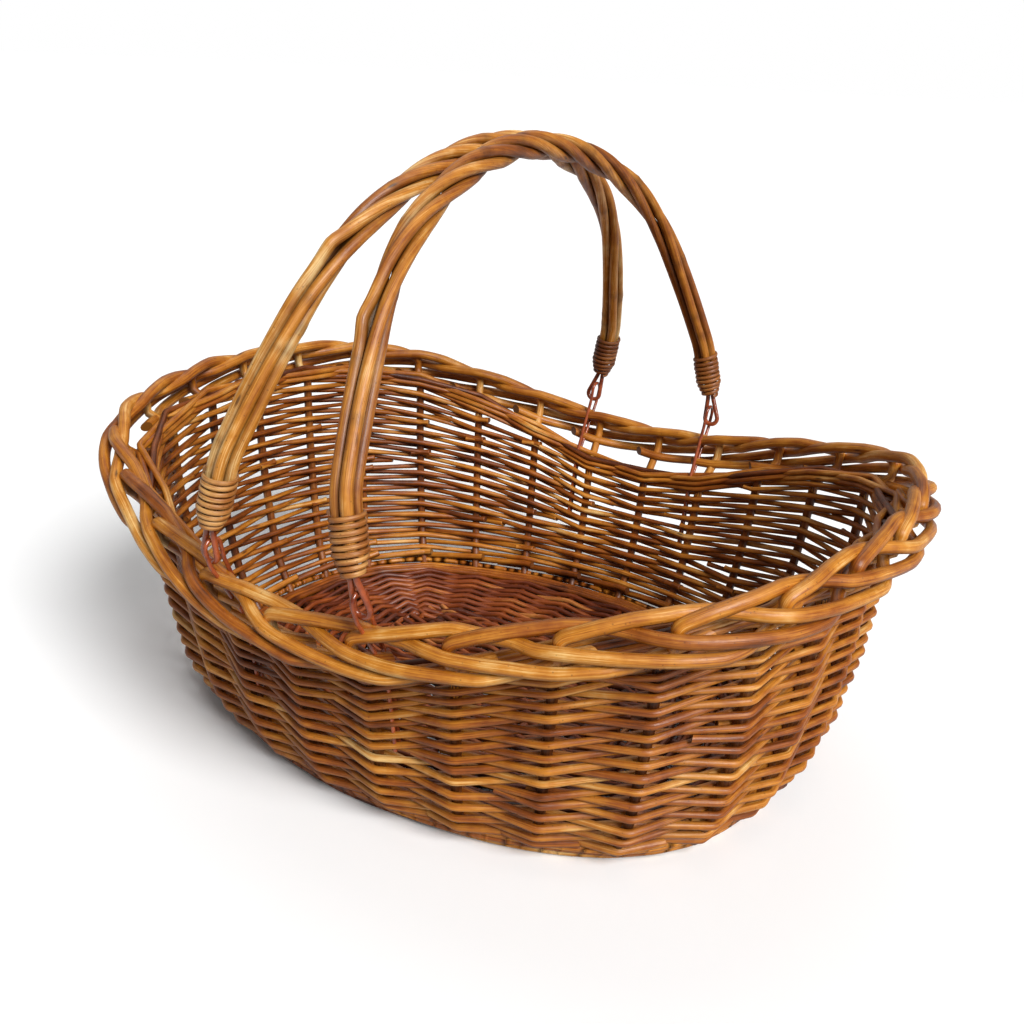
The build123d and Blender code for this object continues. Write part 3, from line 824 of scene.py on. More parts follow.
@dataclass
class BasketBody:
    """Base, foot, wall, border: everything that stands still. Sizes are in millimetres.

    The tables hold:
        foot_rows: Height, distance out and radius of each thick row.
        flat_rows: Insets of the rows, then their height, radius, rise over a spoke and tone.
        tightness: Share of the swing at the foot, its gain, where that starts and its span.
        sway: How far weavers stray from their place, out and up.
        first_rod_heights: At the butt, at its own stake, at the next one and past that.
        stub_rise: Distance out and up from the border's middle where a rod comes up.
        sticks: Half length, spacing and radius of the cross sticks, then of the long ones.
    """

    form: BasketForm = field(default_factory=BasketForm)
    full_rows: int = 22
    pair_reaches: tuple = (126.0, 61.0, 191.0, 28.0, 159.0, 93.0)
    short_row_fade: float = 80.0
    row_start_step: int = 11
    weave_low: float = 18.2
    weave_top_drop: float = 7.6
    weaver_radius: float = 2.12
    weaver_thinning: float = 0.22
    press: float = 0.3
    tightness: tuple = (0.7, 0.3, 16.0, 20.0)
    sway: tuple = (0.2, 0.26)
    first_rod_radius: float = 2.35
    first_rod_heights: tuple = (16.3, 16.1, 15.6, 15.2)
    top_wale_drops: tuple = (5.7, 2.0)
    top_wale_radius: float = 1.95
    foot_rows: tuple = ((5.1, 2.9, 2.3), (8.6, 2.6, 2.1), (11.8, 1.8, 2.05))
    # The second set of flat rows lies in the corner between base and wall; its low tone is painted
    # shade there.
    flat_rows: tuple = (
        ((6.2, 10.4, 14.0), 2.9, 2.15, 0.25, 0.42), ((0.4, 4.2, 8.0), 10.6, 1.95, 0.4, 0.25),
    )
    row_tone: float = 0.46
    stake_radius: float = 2.8
    stake_low: float = 21.0
    stake_root_height: float = 6.6
    stake_top_drop: float = 3.0
    stake_roots: tuple = (24.0, 14.0, 5.0)
    border_radius: float = 3.6
    border_thinning: float = 0.65
    stub_drops: tuple = (17.0, 13.5, 10.0)
    stub_rise: tuple = ((-0.8, -6.0), (-0.1, -2.5), (0.5, 0.8))
    stub_corner: tuple = (0.8, 4.0)
    base_spokes: int = 26
    base_row_pitch: float = 4.1
    base_row_radius: float = 1.85
    stick_height: float = 8.2
    sticks: tuple = ((52.0, 30.0, 3.4), (90.0, 17.0, 2.7))
    random: np.random.Generator = field(default_factory=lambda: np.random.default_rng(SEED))

    def build(self) -> None:
        """Weaves each sub-assembly and gives it to the basket's body."""
        self._finish(self.wall_weave(), "side_weave_lower", "willow_weave", "side_weave_upper")
        self._finish(self.top_wale(), "top_wale", "willow_weave")
        self._finish(self.foot_wale(), "foot_wale", "willow_weave")
        self._finish(self.base_weave(), "base_weave", "willow_weave")
        self._finish(self.base_sticks(), "base_cross_sticks", "willow_stick", "base_long_sticks")
        self._finish(self.stakes(), "side_stakes", "willow_stake")
        self._finish(self.border_rods(), "rim_border", "willow_border")

    @staticmethod
    def _finish(piece: bpy.types.Object, node: str, slot: str, *others: str) -> None:
        """Puts a piece in its node's place on the basket's body.

        Args:
            piece: The piece.
            node: Name of the node that it stands for.
            slot: Material slot of that node; not used.
            others: Names of more nodes that it stands for.
        """
        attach(piece, "basket")
        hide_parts(node, *others)
        log.info("piece %s stands for %s", piece.name, node)

    def _lay(self, bundle: RodBundle, path: Array, frames: Array, radius: Array | float,
             tone: Array | float, **more: Array | float | bool) -> None:
        """Adds a rod with painted shade on its edges, at its own place in the bark pattern."""
        start = self.random.random() * BARK_SHIFT
        bundle.add(path, frames, radius, tone, start, PaintedShade.EDGES, **more)

    def _tapered(self, n: int, thick: float, thin: float, rods: int) -> tuple[Array, Array]:
        """Radius and tone along a row that is made of several rods, butt to tip.

        Args:
            n: Points in the row.
            thick: Radius at a butt.
            thin: Radius at a tip.
            rods: Rods in one lap.

        Returns:
            Two arrays: radius falls from thick to thin in each rod, tone changes with the rod.
        """
        place = np.arange(n) / n * rods + self.random.random()
        share = place - np.floor(place)
        spare = 3
        tones = np.clip(self.random.normal(self.row_tone, 0.10, rods + spare), 0.1, 0.9)
        return thick + (thin - thick) * share, tones[np.floor(place).astype(int)]

    def _row_plan(self) -> tuple[Array, Array]:
        """Which rows pass each stake, and how high they are there.

        Full rows go all round. Between them a pair of short rows packs the high ends, from
        a distance off the middle outwards. The rows at a stake share the wall there, the lower
        ones with more room on the near side and less on the far side: height =
        low + (top - low)((1 + b) s - b s^2), where s goes from nought to one.

        Returns:
            Two arrays, rows by stakes: whether a row is there, and its height.
        """
        angle = self.form.stake_angle(np.arange(self.form.stakes))
        far = np.abs(self.form.rim.point(angle)[0])
        rows_per_pair = 3
        spare = self.full_rows - rows_per_pair * len(self.pair_reaches)
        reaches = np.array([0.0] * spare + [
            value for reach in self.pair_reaches for value in (0.0, 0.0, reach, reach, 0.0)
        ])[:, None]
        there = far >= reaches
        fade = np.clip(0.5 + (far - reaches) / self.short_row_fade, 0, 1)
        room = np.where(reaches > 0, fade, 1.0) * there
        s = (np.cumsum(room, axis=0) - 0.5 * room) / room.sum(axis=0)
        top = self.form.wall_height(angle) - self.weave_top_drop
        b = 0.12 - 0.14 * np.sin(np.radians(angle))
        return there, self.weave_low + (top - self.weave_low) * ((1 + b) * s - b * s ** 2)

    def _weave_rod(self, bundle: RodBundle, row: int, first: int, last: int, heights: Array,
                   radius: float) -> None:
        """One rod of a row. It ends a little past a stake, cut off, or tucked in the wall.

        It is thinner and deeper between stakes, where it isn't pressed, and has painted shade
        there, where it passes behind its neighbours.

        Args:
            bundle: Takes the rod.
            row: Number of the row, which sets the stakes that the rod passes outside.
            first: Number of the first stake.
            last: Number of the last stake, more than the first.
            heights: Height of the row at every stake.
            radius: Radius of the rod halfway.
        """
        index = np.arange(first, last + 1)
        side = np.where((index + row) % 2 == 0, 1.0, -1.0)
        level = heights[index % self.form.stakes]
        swing = self.stake_radius + radius - self.press
        foot_share, gain, low, span = self.tightness
        tight = foot_share + gain * np.clip((level - low) / span, 0, 1)
        out = side * (swing * tight + self.random.normal(0, self.sway[0], len(index)))
        z = level + self.random.normal(0, self.sway[1], len(index))
        end_lift, tail_lift, tail_depth = 0.3, 0.2, 0.3
        z[0] += end_lift
        z[-1] -= end_lift
        inside = side[[0, -1]] < 0
        past = np.where(inside, 0.12 + 0.08 * self.random.random(2), 0.52)
        places = np.r_[first - past[0], index, last + past[1]]
        tucked = np.where(inside, out[[0, -1]] - tail_depth, -1.0)
        out = np.r_[tucked[0], out, tucked[1]]
        z = np.r_[z[0] + tail_lift, z, z[-1] - tail_lift]
        path, frames = kinked(*self.form.wall(self.form.stake_angle(places), z, out))
        count = len(places)
        taper = np.linspace(1.08, 0.84, len(path)) * self.random.normal(1.0, 0.04)
        tone = drawn_tone(self.random, 0.48, 0.10, 0.12)
        # Painted shade on the runs between stakes, where the rod lies behind its neighbours.
        self._lay(bundle, path, frames, radius * taper * on_runs((0.94, 0.88, 0.94), count), tone,
                  shade=on_runs((0.92, 0.84, 0.92), count),
                  flat=on_runs((1.05, 1.12, 1.05), count), slant=0.5)

    def _first_rods(self, bundle: RodBundle) -> None:
        """One thick rod for each stake: it starts inside with a cut butt and goes out.

        Args:
            bundle: Takes the rods.
        """
        swing = 0.7 * (self.stake_radius + 2.3)
        for stake in range(self.form.stakes):
            butt = -0.13 - 0.07 * self.random.random()
            places = stake + np.array([butt, 0.0, 1.0, 1.55])
            z = np.array(self.first_rod_heights) + self.random.normal(0, 0.2, 4)
            out = np.array([-swing - 1.0, -swing, swing, 0.4])
            path, frames = kinked(*self.form.wall(self.form.stake_angle(places), z, out))
            tone = drawn_tone(self.random, 0.42, 0.12)
            self._lay(bundle, path, frames, self.first_rod_radius, tone, shade=0.95, slant=0.3)

    def wall_weave(self) -> bpy.types.Object:
        """Randing: row k passes outside stake i where i + k is even, inside where it is odd.

        Between stakes a weaver runs straight, so it kinks at every stake. A full row is two
        rods, each half a lap long. A short row is a rod at each end of the basket.

        Returns:
            The new piece.
        """
        bundle = RodBundle()
        there, heights = self._row_plan()
        count = self.form.stakes
        half, shortest = count // 2, 3
        for row, (present, height) in enumerate(zip(there, heights)):
            radius = self.weaver_radius - self.weaver_thinning * row / len(there)
            if present.all():
                shift = (row * self.row_start_step + row % 2 + 1) // 2 * 2 + (row + 1) % 2
                for first in (shift, shift + half):
                    self._weave_rod(bundle, row, first, first + half, height, radius)
                continue
            gaps = np.flatnonzero(~present)
            for gap, following in zip(gaps, np.r_[gaps[1:], gaps[0] + count]):
                if following - gap > shortest:
                    self._weave_rod(
                        bundle, row, int(gap) + 1, int(following) - 1, height, radius)
        self._first_rods(bundle)
        return bundle.build("willow_wall_weave", Finish.WEAVER.material())

    def _wale_row(self, bundle: RodBundle, angle: Array, z: Array, radius: float,
                  swing: float) -> None:
        """One row of three-rod waling: each strand passes outside two stakes and inside one.

        Args:
            bundle: Takes the strands.
            angle: Normal angle of each stake, in degrees.
            z: Height of the row at each stake.
            radius: Radius of a strand.
            swing: Distance of a strand from the middle of the wall where it passes a stake.
        """
        index = np.arange(len(angle) + 1)
        wrapped = index % len(angle)
        for strand in range(3):
            state = (index + strand) % 3
            stray = self.random.normal(0, 0.15, len(index))
            out = np.choose(state, [swing, swing, -swing]) + stray
            lift = np.choose(state, [-0.42, 0.42, 0.0]) * 2 * radius
            path, frames = kinked(*self.form.wall(angle[wrapped], z[wrapped] + lift, out))
            self._lay(bundle, path, frames, radius, drawn_tone(self.random, 0.48, 0.13))

    def top_wale(self) -> bpy.types.Object:
        """Two rows of three-rod waling along the top of the wall.

        Returns:
            The new piece.
        """
        bundle = RodBundle()
        angle = self.form.stake_angle(np.arange(self.form.stakes))
        top = self.form.wall_height(angle)
        for drop in self.top_wale_drops:
            self._wale_row(bundle, angle, top - drop, self.top_wale_radius,
                           self.stake_radius + 1.5)
        return bundle.build("willow_top_wale", Finish.WEAVER.material())

    def foot_wale(self) -> bpy.types.Object:
        """Thick rods round the foot, and flat rows that the basket stands on.

        The thick rods wave up and out as sin and cos of a phase that turns once in three
        stakes, except that the lowest stays level.

        Returns:
            The new piece.
        """
        bundle = RodBundle()
        index = np.arange(2 * self.form.stakes) / 2
        angle = self.form.stake_angle(index)
        for row, (height, out, radius) in enumerate(self.foot_rows):
            phase = 2 * np.pi * (index / 3.0 + row / 3.0)
            wave_up, wave_out = 0.0 if row == 0 else 0.55, 0.45
            path, frames = kinked(*self.form.wall(
                angle, height + wave_up * np.sin(phase), out + wave_out * np.cos(phase),
            ), closed=True, round_share=0.3)
            radii, tone = self._tapered(len(path), radius + 0.1, radius - 0.15, 4)
            self._lay(bundle, path, frames, radii, tone, closed=True)
        for insets, height, radius, wave, middle_tone in self.flat_rows:
            for inset in insets:
                self._flat_row(bundle, inset, height, radius, wave, 0, middle_tone)
        return bundle.build("willow_foot_wale", Finish.WEAVER.material())

    def _flat_row(self, bundle: RodBundle, inset: float, z: float, radius: float, wave: float,
                  row: int, middle_tone: float) -> None:
        """One row that lies flat round the base, over one spoke and under the next.

        Args:
            bundle: Takes the row.
            inset: Distance inwards from the base outline.
            z: Middle height.
            radius: Radius of the rod.
            wave: Height that it rises over a spoke.
            row: Number of the row, which sets the spokes that it passes over.
            middle_tone: Tone of the row.
        """
        index = np.arange(self.base_spokes)
        x, y = self.form.base.point(self._spoke_angle(index), -inset)
        lift = np.where((index + row) % 2 == 0, wave, -wave)
        lift += self.random.normal(0, 0.12, len(index))
        path, frames = kinked(np.stack([x, y, z + lift], axis=-1),
                              np.tile(UPWARDS, (len(index), 1)), closed=True, round_share=0.10)
        radii, tone = self._tapered(len(path), radius + 0.1, radius - 0.12, 3)
        self._lay(bundle, path, frames, radii, tone + middle_tone - self.row_tone, closed=True)

    def _spoke_angle(self, index: Array) -> Array:
        """Normal angle of each spoke of the base, evenly spaced along its outline."""
        return self.form.base.angle_at(index / self.base_spokes * self.form.base.perimeter())

    def base_weave(self) -> bpy.types.Object:
        """Rows woven round the spokes of the base, and straight weaving across its middle.

        The rings near the wall are darker: painted shade in the corner by the wall. A straight row
        at y reaches 93 - 9 (|y|/54)^6 from the middle and goes over one stick and under the next.

        Returns:
            The new piece.
        """
        bundle = RodBundle(sides=8)
        radius, pitch = self.base_row_radius, self.base_row_pitch
        # Rings nearer the wall than this get a darker tone, painted shade in the corner.
        shaded_ring_inset = 22
        for row, inset in enumerate(np.arange(11.4, 89.0, pitch)):
            middle_tone = 0.32 if inset < shaded_ring_inset else 0.5
            self._flat_row(bundle, float(inset), 8.5, radius, 2.75, row, middle_tone)
        for row, y in enumerate(np.arange(-53.3, 53.4, pitch)):
            reach = 93.0 - 9.0 * (abs(y) / 54.0) ** 6
            x = np.clip(np.arange(-120.0, 121.0, 24.0), -reach, reach)
            x = x[np.r_[True, np.diff(x) > 1.0]]
            lift = np.where((np.arange(len(x)) + row) % 2 == 0, 2.9, -2.9)
            path, frames = kinked(np.stack([x, y + 0 * x, 8.4 + lift], axis=-1),
                                  np.tile(UPWARDS, (len(x), 1)), round_share=0.12)
            self._lay(bundle, path, frames, radius, drawn_tone(self.random, 0.48, 0.13, 0, 1))
        return bundle.build("willow_base_weave", Finish.BASE.material())

    def base_sticks(self) -> bpy.types.Object:
        """Thick sticks across the base, thin ones along it, and spokes fanned out from them.

        Returns:
            The new piece.
        """
        bundle = RodBundle()
        steps = 9
        share = np.linspace(0, 1, steps)[:, None]
        (half, gap, thick), (reach, row_gap, thin) = self.sticks
        lines = [((x, -half), (x, half), thick) for x in (np.arange(6) - 2.5) * gap]
        lines += [((-reach, y), (reach, y), thin) for y in (-row_gap, 0.0, row_gap)]
        angle = self._spoke_angle(np.arange(self.base_spokes))
        inner, outer = self.form.base.point(angle, -86.0), self.form.base.point(angle, -9.0)
        lines += [((ax, ay), (bx, by), 2.5) for ax, ay, bx, by in zip(*inner, *outer)]
        for start, end, radius in lines:
            run = np.array(start) * (1 - share) + np.array(end) * share
            path = np.hstack([run, np.full((steps, 1), self.stick_height)])
            tone = drawn_tone(self.random, 0.32, 0.1, 0, 1)
            bundle.add(path, np.tile(UPWARDS, (steps, 1)), radius, tone,
                       self.random.random() * BARK_SHIFT, PaintedShade.NOWHERE, shade=0.8)
        return bundle.build("willow_base_sticks", Finish.BASE.material())

    def _stake_tone(self, index: int) -> float:
        """Tone of a side stake, the same wherever the stake shows."""
        return drawn_tone(np.random.default_rng(SEED + index), 0.36, 0.08)

    def stakes(self) -> bpy.types.Object:
        """Side stakes: out from the base, up at the foot, and up the middle of the wall.

        Returns:
            The new piece.
        """
        bundle = RodBundle()
        share = np.linspace(0, 1, 16)
        low = self.stake_low
        for index in range(self.form.stakes):
            angle = self.form.stake_angle(np.array([index]))
            top = float(self.form.wall_height(angle)[0]) - self.stake_top_drop
            z = low + share * (top - low)
            wall, _ = self.form.wall(angle + 0 * z, z)
            rise = (wall[1] - wall[0]) / np.linalg.norm(wall[1] - wall[0])
            foot = wall[0] - rise * (wall[0][2] - self.stake_root_height) / rise[2]
            turn = np.radians(angle[0])
            outward = np.array([np.cos(turn), np.sin(turn), 0.0])
            root = foot - np.array(self.stake_roots)[:, None] * outward
            bend = np.array([
                foot - 2.2 * outward + 0.4 * UPWARDS, foot + 2.6 * rise - 0.3 * outward,
            ])
            path = np.vstack([root, bend, wall])
            inward = np.tile(UPWARDS - outward, (len(path), 1))
            # Painted shade: each stake is darker on its outer side, in the gaps of the weave, and
            # a little darker all over.
            bundle.add(path, inward, self.stake_radius, self._stake_tone(index),
                       self.random.random() * BARK_SHIFT, PaintedShade.UNDERSIDE, shade=0.85)
        return bundle.build("willow_stakes", Finish.STAKE.material())

    def border_rods(self) -> bpy.types.Object:
        """Rolled border: each stake kinks over to the right and is woven through the next four.

        It passes above and inside the first stake, outside the second and third, and ends
        inside the fourth with a cut end. The route is 0.4 of a cubic curve through the points
        of BORDER_ROUTE and 0.6 of straight runs between them, so it is straighter where
        nothing bends it. A quadratic curve turns each rod from upright into its route.

        Returns:
            The new piece.
        """
        bundle = RodBundle(sides=12)
        knots, table = BORDER_ROUTE[:, 0], BORDER_ROUTE[:, 1:]
        steps = np.linspace(0.08, knots[-1], 66)
        straight = np.stack([np.interp(steps, knots, column) for column in table.T], axis=-1)
        route = 0.4 * smooth_through(knots, table, steps) + 0.6 * straight
        rise_out, rise_up = np.array(self.stub_rise).T
        corner_out, corner_up = np.array(self.stub_corner)[:, None]
        t = np.array([0.25, 0.5, 0.75])[:, None]
        for index in range(self.form.stakes):
            wobble = self.random.normal(0, 0.32, table.shape)
            wobble[0] = 0
            out, up = (route + smooth_through(knots, wobble, steps)).T
            stretch = 1 + 0.2 * float(self.random.normal(0.0, 0.05))
            over, over_normal = self.form.border(
                self.form.stake_angle(index + steps * stretch), out, up)
            stake = self.form.stake_angle(np.array([index]))
            risen, _ = self.form.border(stake + 0 * rise_up, rise_out, rise_up)
            low_z = self.form.wall_height(stake) - np.array(self.stub_drops)
            low, _ = self.form.wall(stake + 0 * low_z, low_z)
            corner, corner_normal = self.form.border(stake, corner_out, corner_up)
            turn = (1 - t) ** 2 * risen[-1] + 2 * t * (1 - t) * corner[0] + t ** 2 * over[0]
            path = np.vstack([low, risen, turn, over])
            upright, before_route = len(low) + len(risen), len(path) - len(over)
            normal = np.vstack([np.repeat(corner_normal, before_route, axis=0), over_normal])
            radius = self.border_radius - self.border_thinning * np.linspace(0, 1, len(path))
            radius[:upright] = self.stake_radius
            tone = np.full(len(path), drawn_tone(self.random, 0.5, 0.09, 0.15))
            tone[:upright] = self._stake_tone(index) + 0.25
            self._lay(bundle, path, normal, radius, tone, slant=0.9)
        return bundle.build("willow_border_rods", Finish.BORDER.material())


@dataclass
class SwingHandle:
    """One handle: four willow rods twisted along an arch, bound at both ends.

    The arcs are radius, start lean and end lean. A rod strays from its place in waves of a
    pace and a height, swells at a few buds, and one rod stands out in a kink.
    """

    side: str
    kink_at: float
    tones: tuple
    seed: int
    hinge_spacing: float = 45.5
    hinge_span: float = 191.02
    hinge_height: float = 154.0
    arch_height: float = 181.0
    leg: float = 37.0
    leg_lean: float = 6.5
    arcs: tuple = ((42.0, 6.5, 25.0), (490.0, 25.0, 33.0))
    shoulder_angle: float = 62.0
    ring: float = 4.31
    rod_radius: float = 2.95
    twist: float = 2.3
    rod_start: float = 18.4
    lean: float = 12.18
    waves: tuple = ((52.0, 0.35), (33.0, 0.22), (21.0, 0.12))
    phase_range: float = 6.28
    kink: tuple = (2.8, 8.0)
    buds: int = 7
    bud_width: float = 2.6
    binding_radii: tuple = (4.7, 7.75)
    binding_start: float = 8.4
    binding_pitch: float = 3.1
    skein_radius: float = 1.28

    def _arch_arcs(self) -> list[tuple[float, float, float]]:
        """The arch's arcs as radius, start lean and end lean; the last two close the arch.

        Returns:
            One row for each arc, from the leg to the top.
        """
        up = self.arch_height - self.leg * np.cos(np.radians(self.leg_lean))
        inwards = self.hinge_span - self.leg * np.sin(np.radians(self.leg_lean))
        for radius, start, end in self.arcs:
            a, b = np.radians([start, end])
            up -= radius * (np.sin(b) - np.sin(a))
            inwards -= radius * (np.cos(a) - np.cos(b))
        a, b = np.radians([self.arcs[-1][2], self.shoulder_angle])
        matrix = np.array([
            [np.sin(b) - np.sin(a), 1 - np.sin(b)], [np.cos(a) - np.cos(b), np.cos(b)],
        ])
        shoulder, crown = np.linalg.solve(matrix, [up, inwards])
        return [*self.arcs, (float(shoulder), self.arcs[-1][2], self.shoulder_angle),
                (float(crown), self.shoulder_angle, 90.0)]

    def _half_length(self) -> float:
        """Length of the arch from a hinge to its top."""
        return self.leg + sum(r * np.radians(b - a) for r, a, b in self._arch_arcs())

    def _arch(self, distance: Array) -> tuple[Array, Array]:
        """Points and outward normals of the arch in its own plane, from the far hinge on.

        Args:
            distance: Distances along the arch.

        Returns:
            Points and normals: a straight leg, then arcs whose lean grows with distance.
        """
        half = self._half_length()
        mirror = np.where(distance <= half, 1.0, -1.0)
        left = np.minimum(distance, 2 * half - distance)
        straight = np.minimum(left, self.leg)
        y = self.hinge_span - straight * np.sin(np.radians(self.leg_lean))
        z = straight * np.cos(np.radians(self.leg_lean))
        lean = np.full(len(distance), self.leg_lean)
        left = left - straight
        for radius, start, end in self._arch_arcs():
            turn = np.clip(np.degrees(left / radius), 0, end - start) + start
            z += radius * (np.sin(np.radians(turn)) - np.sin(np.radians(start)))
            y -= radius * (np.cos(np.radians(start)) - np.cos(np.radians(turn)))
            lean = np.where(left > 0, turn, lean)
            left = left - radius * np.radians(end - start)
        normal = np.radians(lean)
        points = np.stack([0 * y, mirror * y, z], axis=-1)
        return points, np.stack([0 * y, mirror * np.cos(normal), np.sin(normal)], axis=-1)

    def _place(self, points: Array, turn_only: bool = False) -> Array:
        """Leans the handle's plane inwards and moves it to its hinge.

        Args:
            points: Points or directions, n by 3.
            turn_only: Whether they are directions, which are turned and not moved.

        Returns:
            New ones.
        """
        placed = turned(points, 2, 0, self.lean)
        if not turn_only:
            placed += [-self.hinge_spacing, 0.0, self.hinge_height]
        return placed if self.side == "left" else placed * HALF_TURN

    def _leg_place(self, points: Array, leg: str, turn_only: bool = False) -> Array:
        """Leans a piece with its leg and moves it to the far or the near hinge.

        Args:
            points: Points or directions, n by 3.
            leg: Which leg, near or far.
            turn_only: Whether they are directions, which are turned and not moved.

        Returns:
            New ones.
        """
        placed = turned(points, 1, 2, self.leg_lean)
        if not turn_only:
            placed += [0.0, self.hinge_span, 0.0]
        return self._place(placed * HALF_TURN if leg == "near" else placed, turn_only)

    def build(self) -> None:
        """Makes the rods and bindings and dresses the eyes."""
        random = np.random.default_rng(self.seed)
        for number in range(4):
            piece = self.rod(number, random)
            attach(piece, f"{self.side}_handle")
            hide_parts(f"{self.side}_handle_rod_{number + 1}")
            log.info("piece %s", piece.name)
        for leg in ("near", "far"):
            piece = self.binding(leg, random)
            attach(piece, f"{self.side}_handle")
            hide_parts(f"{self.side}_{leg}_binding")
            log.info("piece %s", piece.name)
            dress(f"{self.side}_{leg}_eye", Finish.CANE.material())

    def _bulge(self, distance: Array, angle: Array) -> Array:
        """How far a rod stands out at the kink, if it is the outermost of the four there.

        Args:
            distance: Distances along the arch.
            angle: Winding angle of the rod at each of them.

        Returns:
            Distances outwards, all nought for a rod that isn't the outermost.
        """
        height, width = self.kink
        off = np.abs(distance - self.kink_at)
        quarters = np.radians(90) * np.arange(4)
        outermost = np.argmax(np.cos(angle[np.argmin(off)] - quarters)) == 0
        return height * np.exp(-(off / width) ** 1.5) if outermost else 0 * distance

    def rod(self, number: int, random: np.random.Generator) -> bpy.types.Object:
        """A rod that winds round the arch: arch point + ring (cos p outwards + sin p sideways).

        The winding angle p eases in from the straight legs and turns fastest at the crown.

        Args:
            number: Number of the rod, from nought.
            random: Source of the handle's random numbers.

        Returns:
            The new piece.
        """
        half = self._half_length()
        distance = np.linspace(self.rod_start, 2 * half - self.rod_start, 190)
        points, normals = self._arch(distance)
        share = np.clip((distance - self.leg) / (2 * (half - self.leg)), 0, 1)
        eased = share - np.sin(2 * np.pi * share) / (2 * np.pi)
        angle = np.radians(45 + 90 * number) - 2 * np.pi * self.twist * eased
        still, ease = 40, 25
        ends = np.clip((distance - still) / ease, 0, 1)
        ends = ends * np.clip((2 * half - still - distance) / ease, 0, 1)
        phase = random.random((3, 1)) * self.phase_range
        pace, rise = np.array(self.waves).T[..., None]
        drift = (np.sin(distance / pace + phase) * rise).sum(axis=0) * ends
        outward = self.ring * np.cos(angle) + drift + self._bulge(distance, angle)
        sideways = self.ring * np.sin(angle) + drift[::-1] * 0.6
        path = points + normals * outward[:, None] + sideways[:, None] * LENGTHWAYS
        bud_places = random.uniform(50, 2 * half - 50, self.buds)
        swelling = np.exp(-((distance[:, None] - bud_places) / self.bud_width) ** 2).sum(axis=1)
        first, last = (1.04, 0.94) if number % 2 else (0.94, 1.04)
        taper = np.linspace(first, last, len(distance))
        radius = self.rod_radius * taper * (1 + 0.07 * swelling)
        shade = 1.0 - 0.35 * np.clip(swelling, 0, 1)
        away = normals * np.cos(angle)[:, None] + np.sin(angle)[:, None] * LENGTHWAYS
        bundle = RodBundle(sides=14)
        # Painted shade on the side of each rod that faces the middle of the bundle.
        bundle.add(self._place(path), self._place(away, True), radius, self.tones[number],
                   random.random() * BARK_SHIFT, PaintedShade.UNDERSIDE, shade=shade)
        return bundle.build(f"{self.side}_handle_willow_rod_{number + 1}",
                            Finish.HANDLE.material())

    def binding(self, leg: str, random: np.random.Generator) -> bpy.types.Object:
        """Skein wound nine times round the leg, tapering at its lower end.

        The winding is radius (cos a, sin a) with its height growing by a little over one
        skein width a turn, each turn a little loose in its own way.

        Args:
            leg: Which leg, near or far.
            random: Source of the handle's random numbers.

        Returns:
            The new piece.
        """
        turns = np.linspace(-0.12, 9.15, 9 * 26)
        taper_turns, ways = 3, 12
        thin, thick = self.binding_radii
        loose = random.normal(0, 0.2, ways)
        sway = np.interp(turns, np.arange(ways) - 1, loose)
        tight = thick + 0.12 * np.sin(turns * 2.1)
        share = np.clip(turns / taper_turns, 0, 1)
        radius = thin + share * (tight - thin) + 0.4 * np.abs(sway)
        angle = 2 * np.pi * turns
        height = self.binding_start + self.binding_pitch * turns + sway
        path = np.stack([radius * np.cos(angle), radius * np.sin(angle), height], axis=-1)
        normal = np.stack([np.cos(angle), np.sin(angle), 0 * angle], axis=-1)
        bundle = RodBundle()
        # Painted shade on the inner side of the skein, where it lies on the rods.
        bundle.add(self._leg_place(path, leg), self._leg_place(normal, leg, True),
                   self.skein_radius, drawn_tone(random, 0.5, 0.1, 0, 1),
                   random.random() * BARK_SHIFT, PaintedShade.UNDERSIDE, flat=0.62)
        return bundle.build(f"{self.side}_{leg}_willow_binding", Finish.SKEIN.material())


# Studio

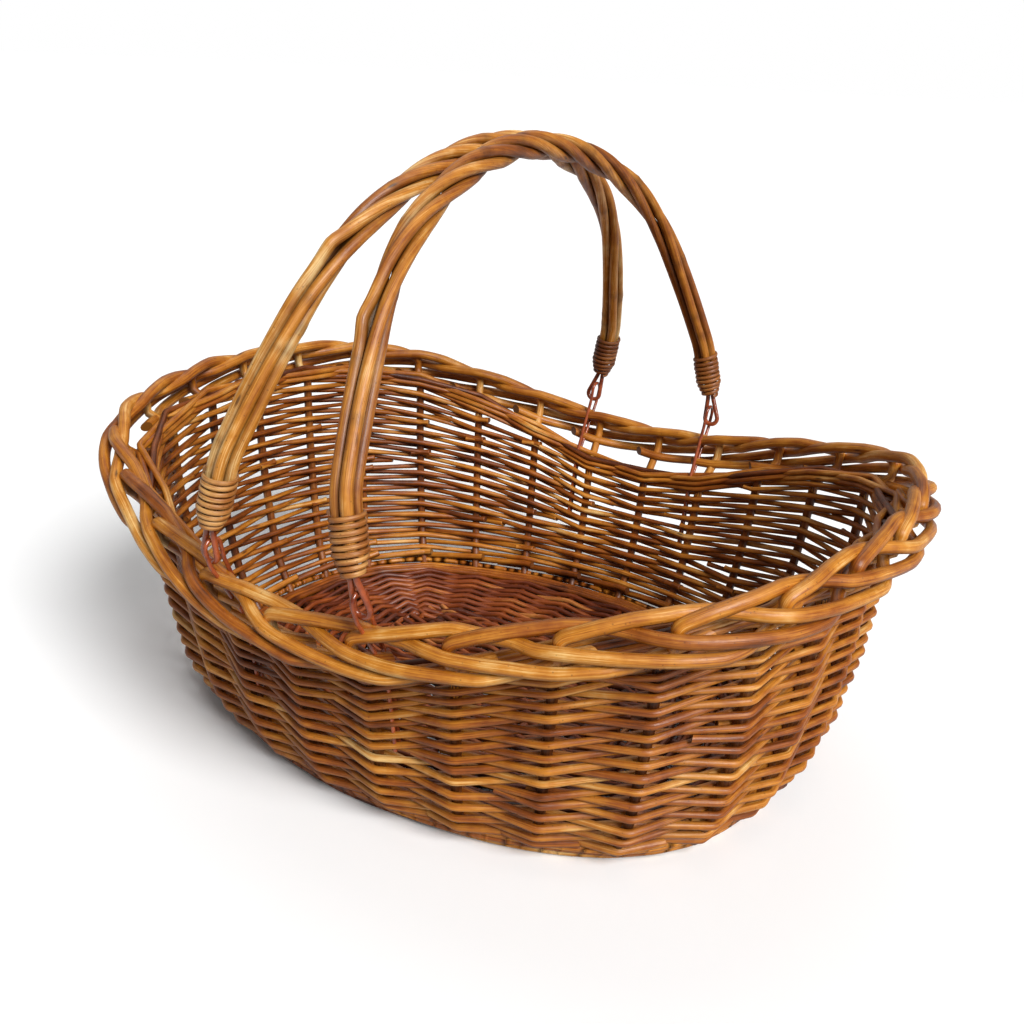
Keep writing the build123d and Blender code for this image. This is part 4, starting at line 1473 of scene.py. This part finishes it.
@dataclass(frozen=True)
class Studio:
    """White floor, soft light from the right, a weak lamp behind, and the picture's camera.

    A lamp is given as its direction, strength and spread in degrees.
    """

    azimuth: float = 32.09
    elevation: float = 21.83
    roll: float = 2.87
    distance: float = 665.7
    lens: float = 39.06
    target: tuple = (2.85, 1.8, 121.5)
    key: tuple = ((0.95, -0.40, 0.86), 3.8, 28.0)
    back: tuple = ((-0.55, 0.62, 1.15), 0.55, 60.0)
    ambient: float = 0.22
    floor_half: float = 40.0
    paper: float = 0.55

    def build(self) -> None:
        """Makes the floor, world, lamps and camera."""
        self._floor()
        self._world()
        self._lamp("key", *self.key)
        self._lamp("back", *self.back)
        self._camera()

    def _floor(self) -> None:
        """A pale sheet that the basket stands on, white to the camera wherever no shadow falls."""
        half = self.floor_half
        mesh = bpy.data.meshes.new("floor")
        square = [(-half, -half, 0), (half, -half, 0), (half, half, 0), (-half, half, 0)]
        mesh.from_pydata(square, [], [(0, 1, 2, 3)])
        floor = bpy.data.objects.new("floor", mesh)
        bpy.context.scene.collection.objects.link(floor)
        material = bpy.data.materials.new("white_floor_paper")
        tree = emptied(material)
        path = add_node(tree, "ShaderNodeLightPath")
        paper = add_node(tree, "ShaderNodeMix", {
            "Factor": path.outputs["Is Camera Ray"],
            6: (self.paper, self.paper, self.paper, 1), 7: (1.0, 1.0, 1.0, 1),
        }, data_type="RGBA")
        sheet = add_node(tree, "ShaderNodeBsdfDiffuse", {"Color": paper.outputs[2]})
        add_node(tree, "ShaderNodeOutputMaterial", {"Surface": sheet.outputs[0]})
        mesh.materials.append(material)

    def _world(self) -> None:
        """Even light from all round, seen as white by the camera."""
        world = bpy.data.worlds.new("studio")
        tree = emptied(world)
        path = add_node(tree, "ShaderNodeLightPath")
        strength = add_node(tree, "ShaderNodeMapRange", {
            "Value": path.outputs["Is Camera Ray"], "To Min": self.ambient, "To Max": 1.0,
        })
        sky = add_node(tree, "ShaderNodeBackground", {
            "Color": (1, 1, 1, 1), "Strength": strength.outputs[0],
        })
        add_node(tree, "ShaderNodeOutputWorld", {"Surface": sky.outputs[0]})
        bpy.context.scene.world = world

    @staticmethod
    def _lamp(name: str, way: tuple, strength: float, spread: float) -> None:
        """One wide soft lamp, far off.

        Args:
            name: Name of the lamp.
            way: Direction towards the lamp.
            strength: Its strength.
            spread: Angle that it fills, in degrees.
        """
        data = bpy.data.lights.new(name, "SUN")
        data.energy = strength
        data.angle = math.radians(spread)
        lamp = bpy.data.objects.new(name, data)
        lamp.rotation_euler = Vector(way).to_track_quat("Z", "Y").to_euler()
        bpy.context.scene.collection.objects.link(lamp)

    def _camera(self) -> None:
        """Camera at the picture's own angle, distance and roll."""
        a, e, roll = (math.radians(value) for value in (self.azimuth, self.elevation, self.roll))
        back = Vector((math.sin(a) * math.cos(e), -math.cos(a) * math.cos(e), math.sin(e)))
        level = Vector((math.cos(a), math.sin(a), 0))
        upright = level.cross(-back)
        right = math.cos(roll) * level + math.sin(roll) * upright
        up = math.cos(roll) * upright - math.sin(roll) * level
        data = bpy.data.cameras.new("camera")
        data.sensor_width = 36.0
        data.lens = self.lens
        data.clip_start = 0.01
        camera = bpy.data.objects.new("camera", data)
        place = Vector(self.target) * MM + back * self.distance * MM
        camera.matrix_world = Matrix((
            (right.x, up.x, back.x, place.x), (right.y, up.y, back.y, place.y),
            (right.z, up.z, back.z, place.z), (0, 0, 0, 1),
        ))
        bpy.context.scene.collection.objects.link(camera)
        bpy.context.scene.camera = camera


def corners(bounds: tuple) -> list[list[float]]:
    """Lowest and highest corner as plain lists."""
    return [[float(value) for value in corner] for corner in bounds]


def main() -> None:
    """Builds the basket, its handles and the studio."""
    logging.basicConfig(level=logging.INFO, format="%(name)s: %(message)s")
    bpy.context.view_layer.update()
    bpy.context.scene.view_settings.view_transform = "Standard"
    BasketBody().build()
    SwingHandle("left", kink_at=432.0, tones=(0.72, 0.58, 0.66, 0.5), seed=5).build()
    SwingHandle("right", kink_at=120.0, tones=(0.46, 0.62, 0.4, 0.54), seed=8).build()
    for link in ("left_near_link", "left_far_link", "right_near_link", "right_far_link"):
        dress(link, Finish.CANE.material())
    Studio().build()


if __name__ == "__main__":
    main()
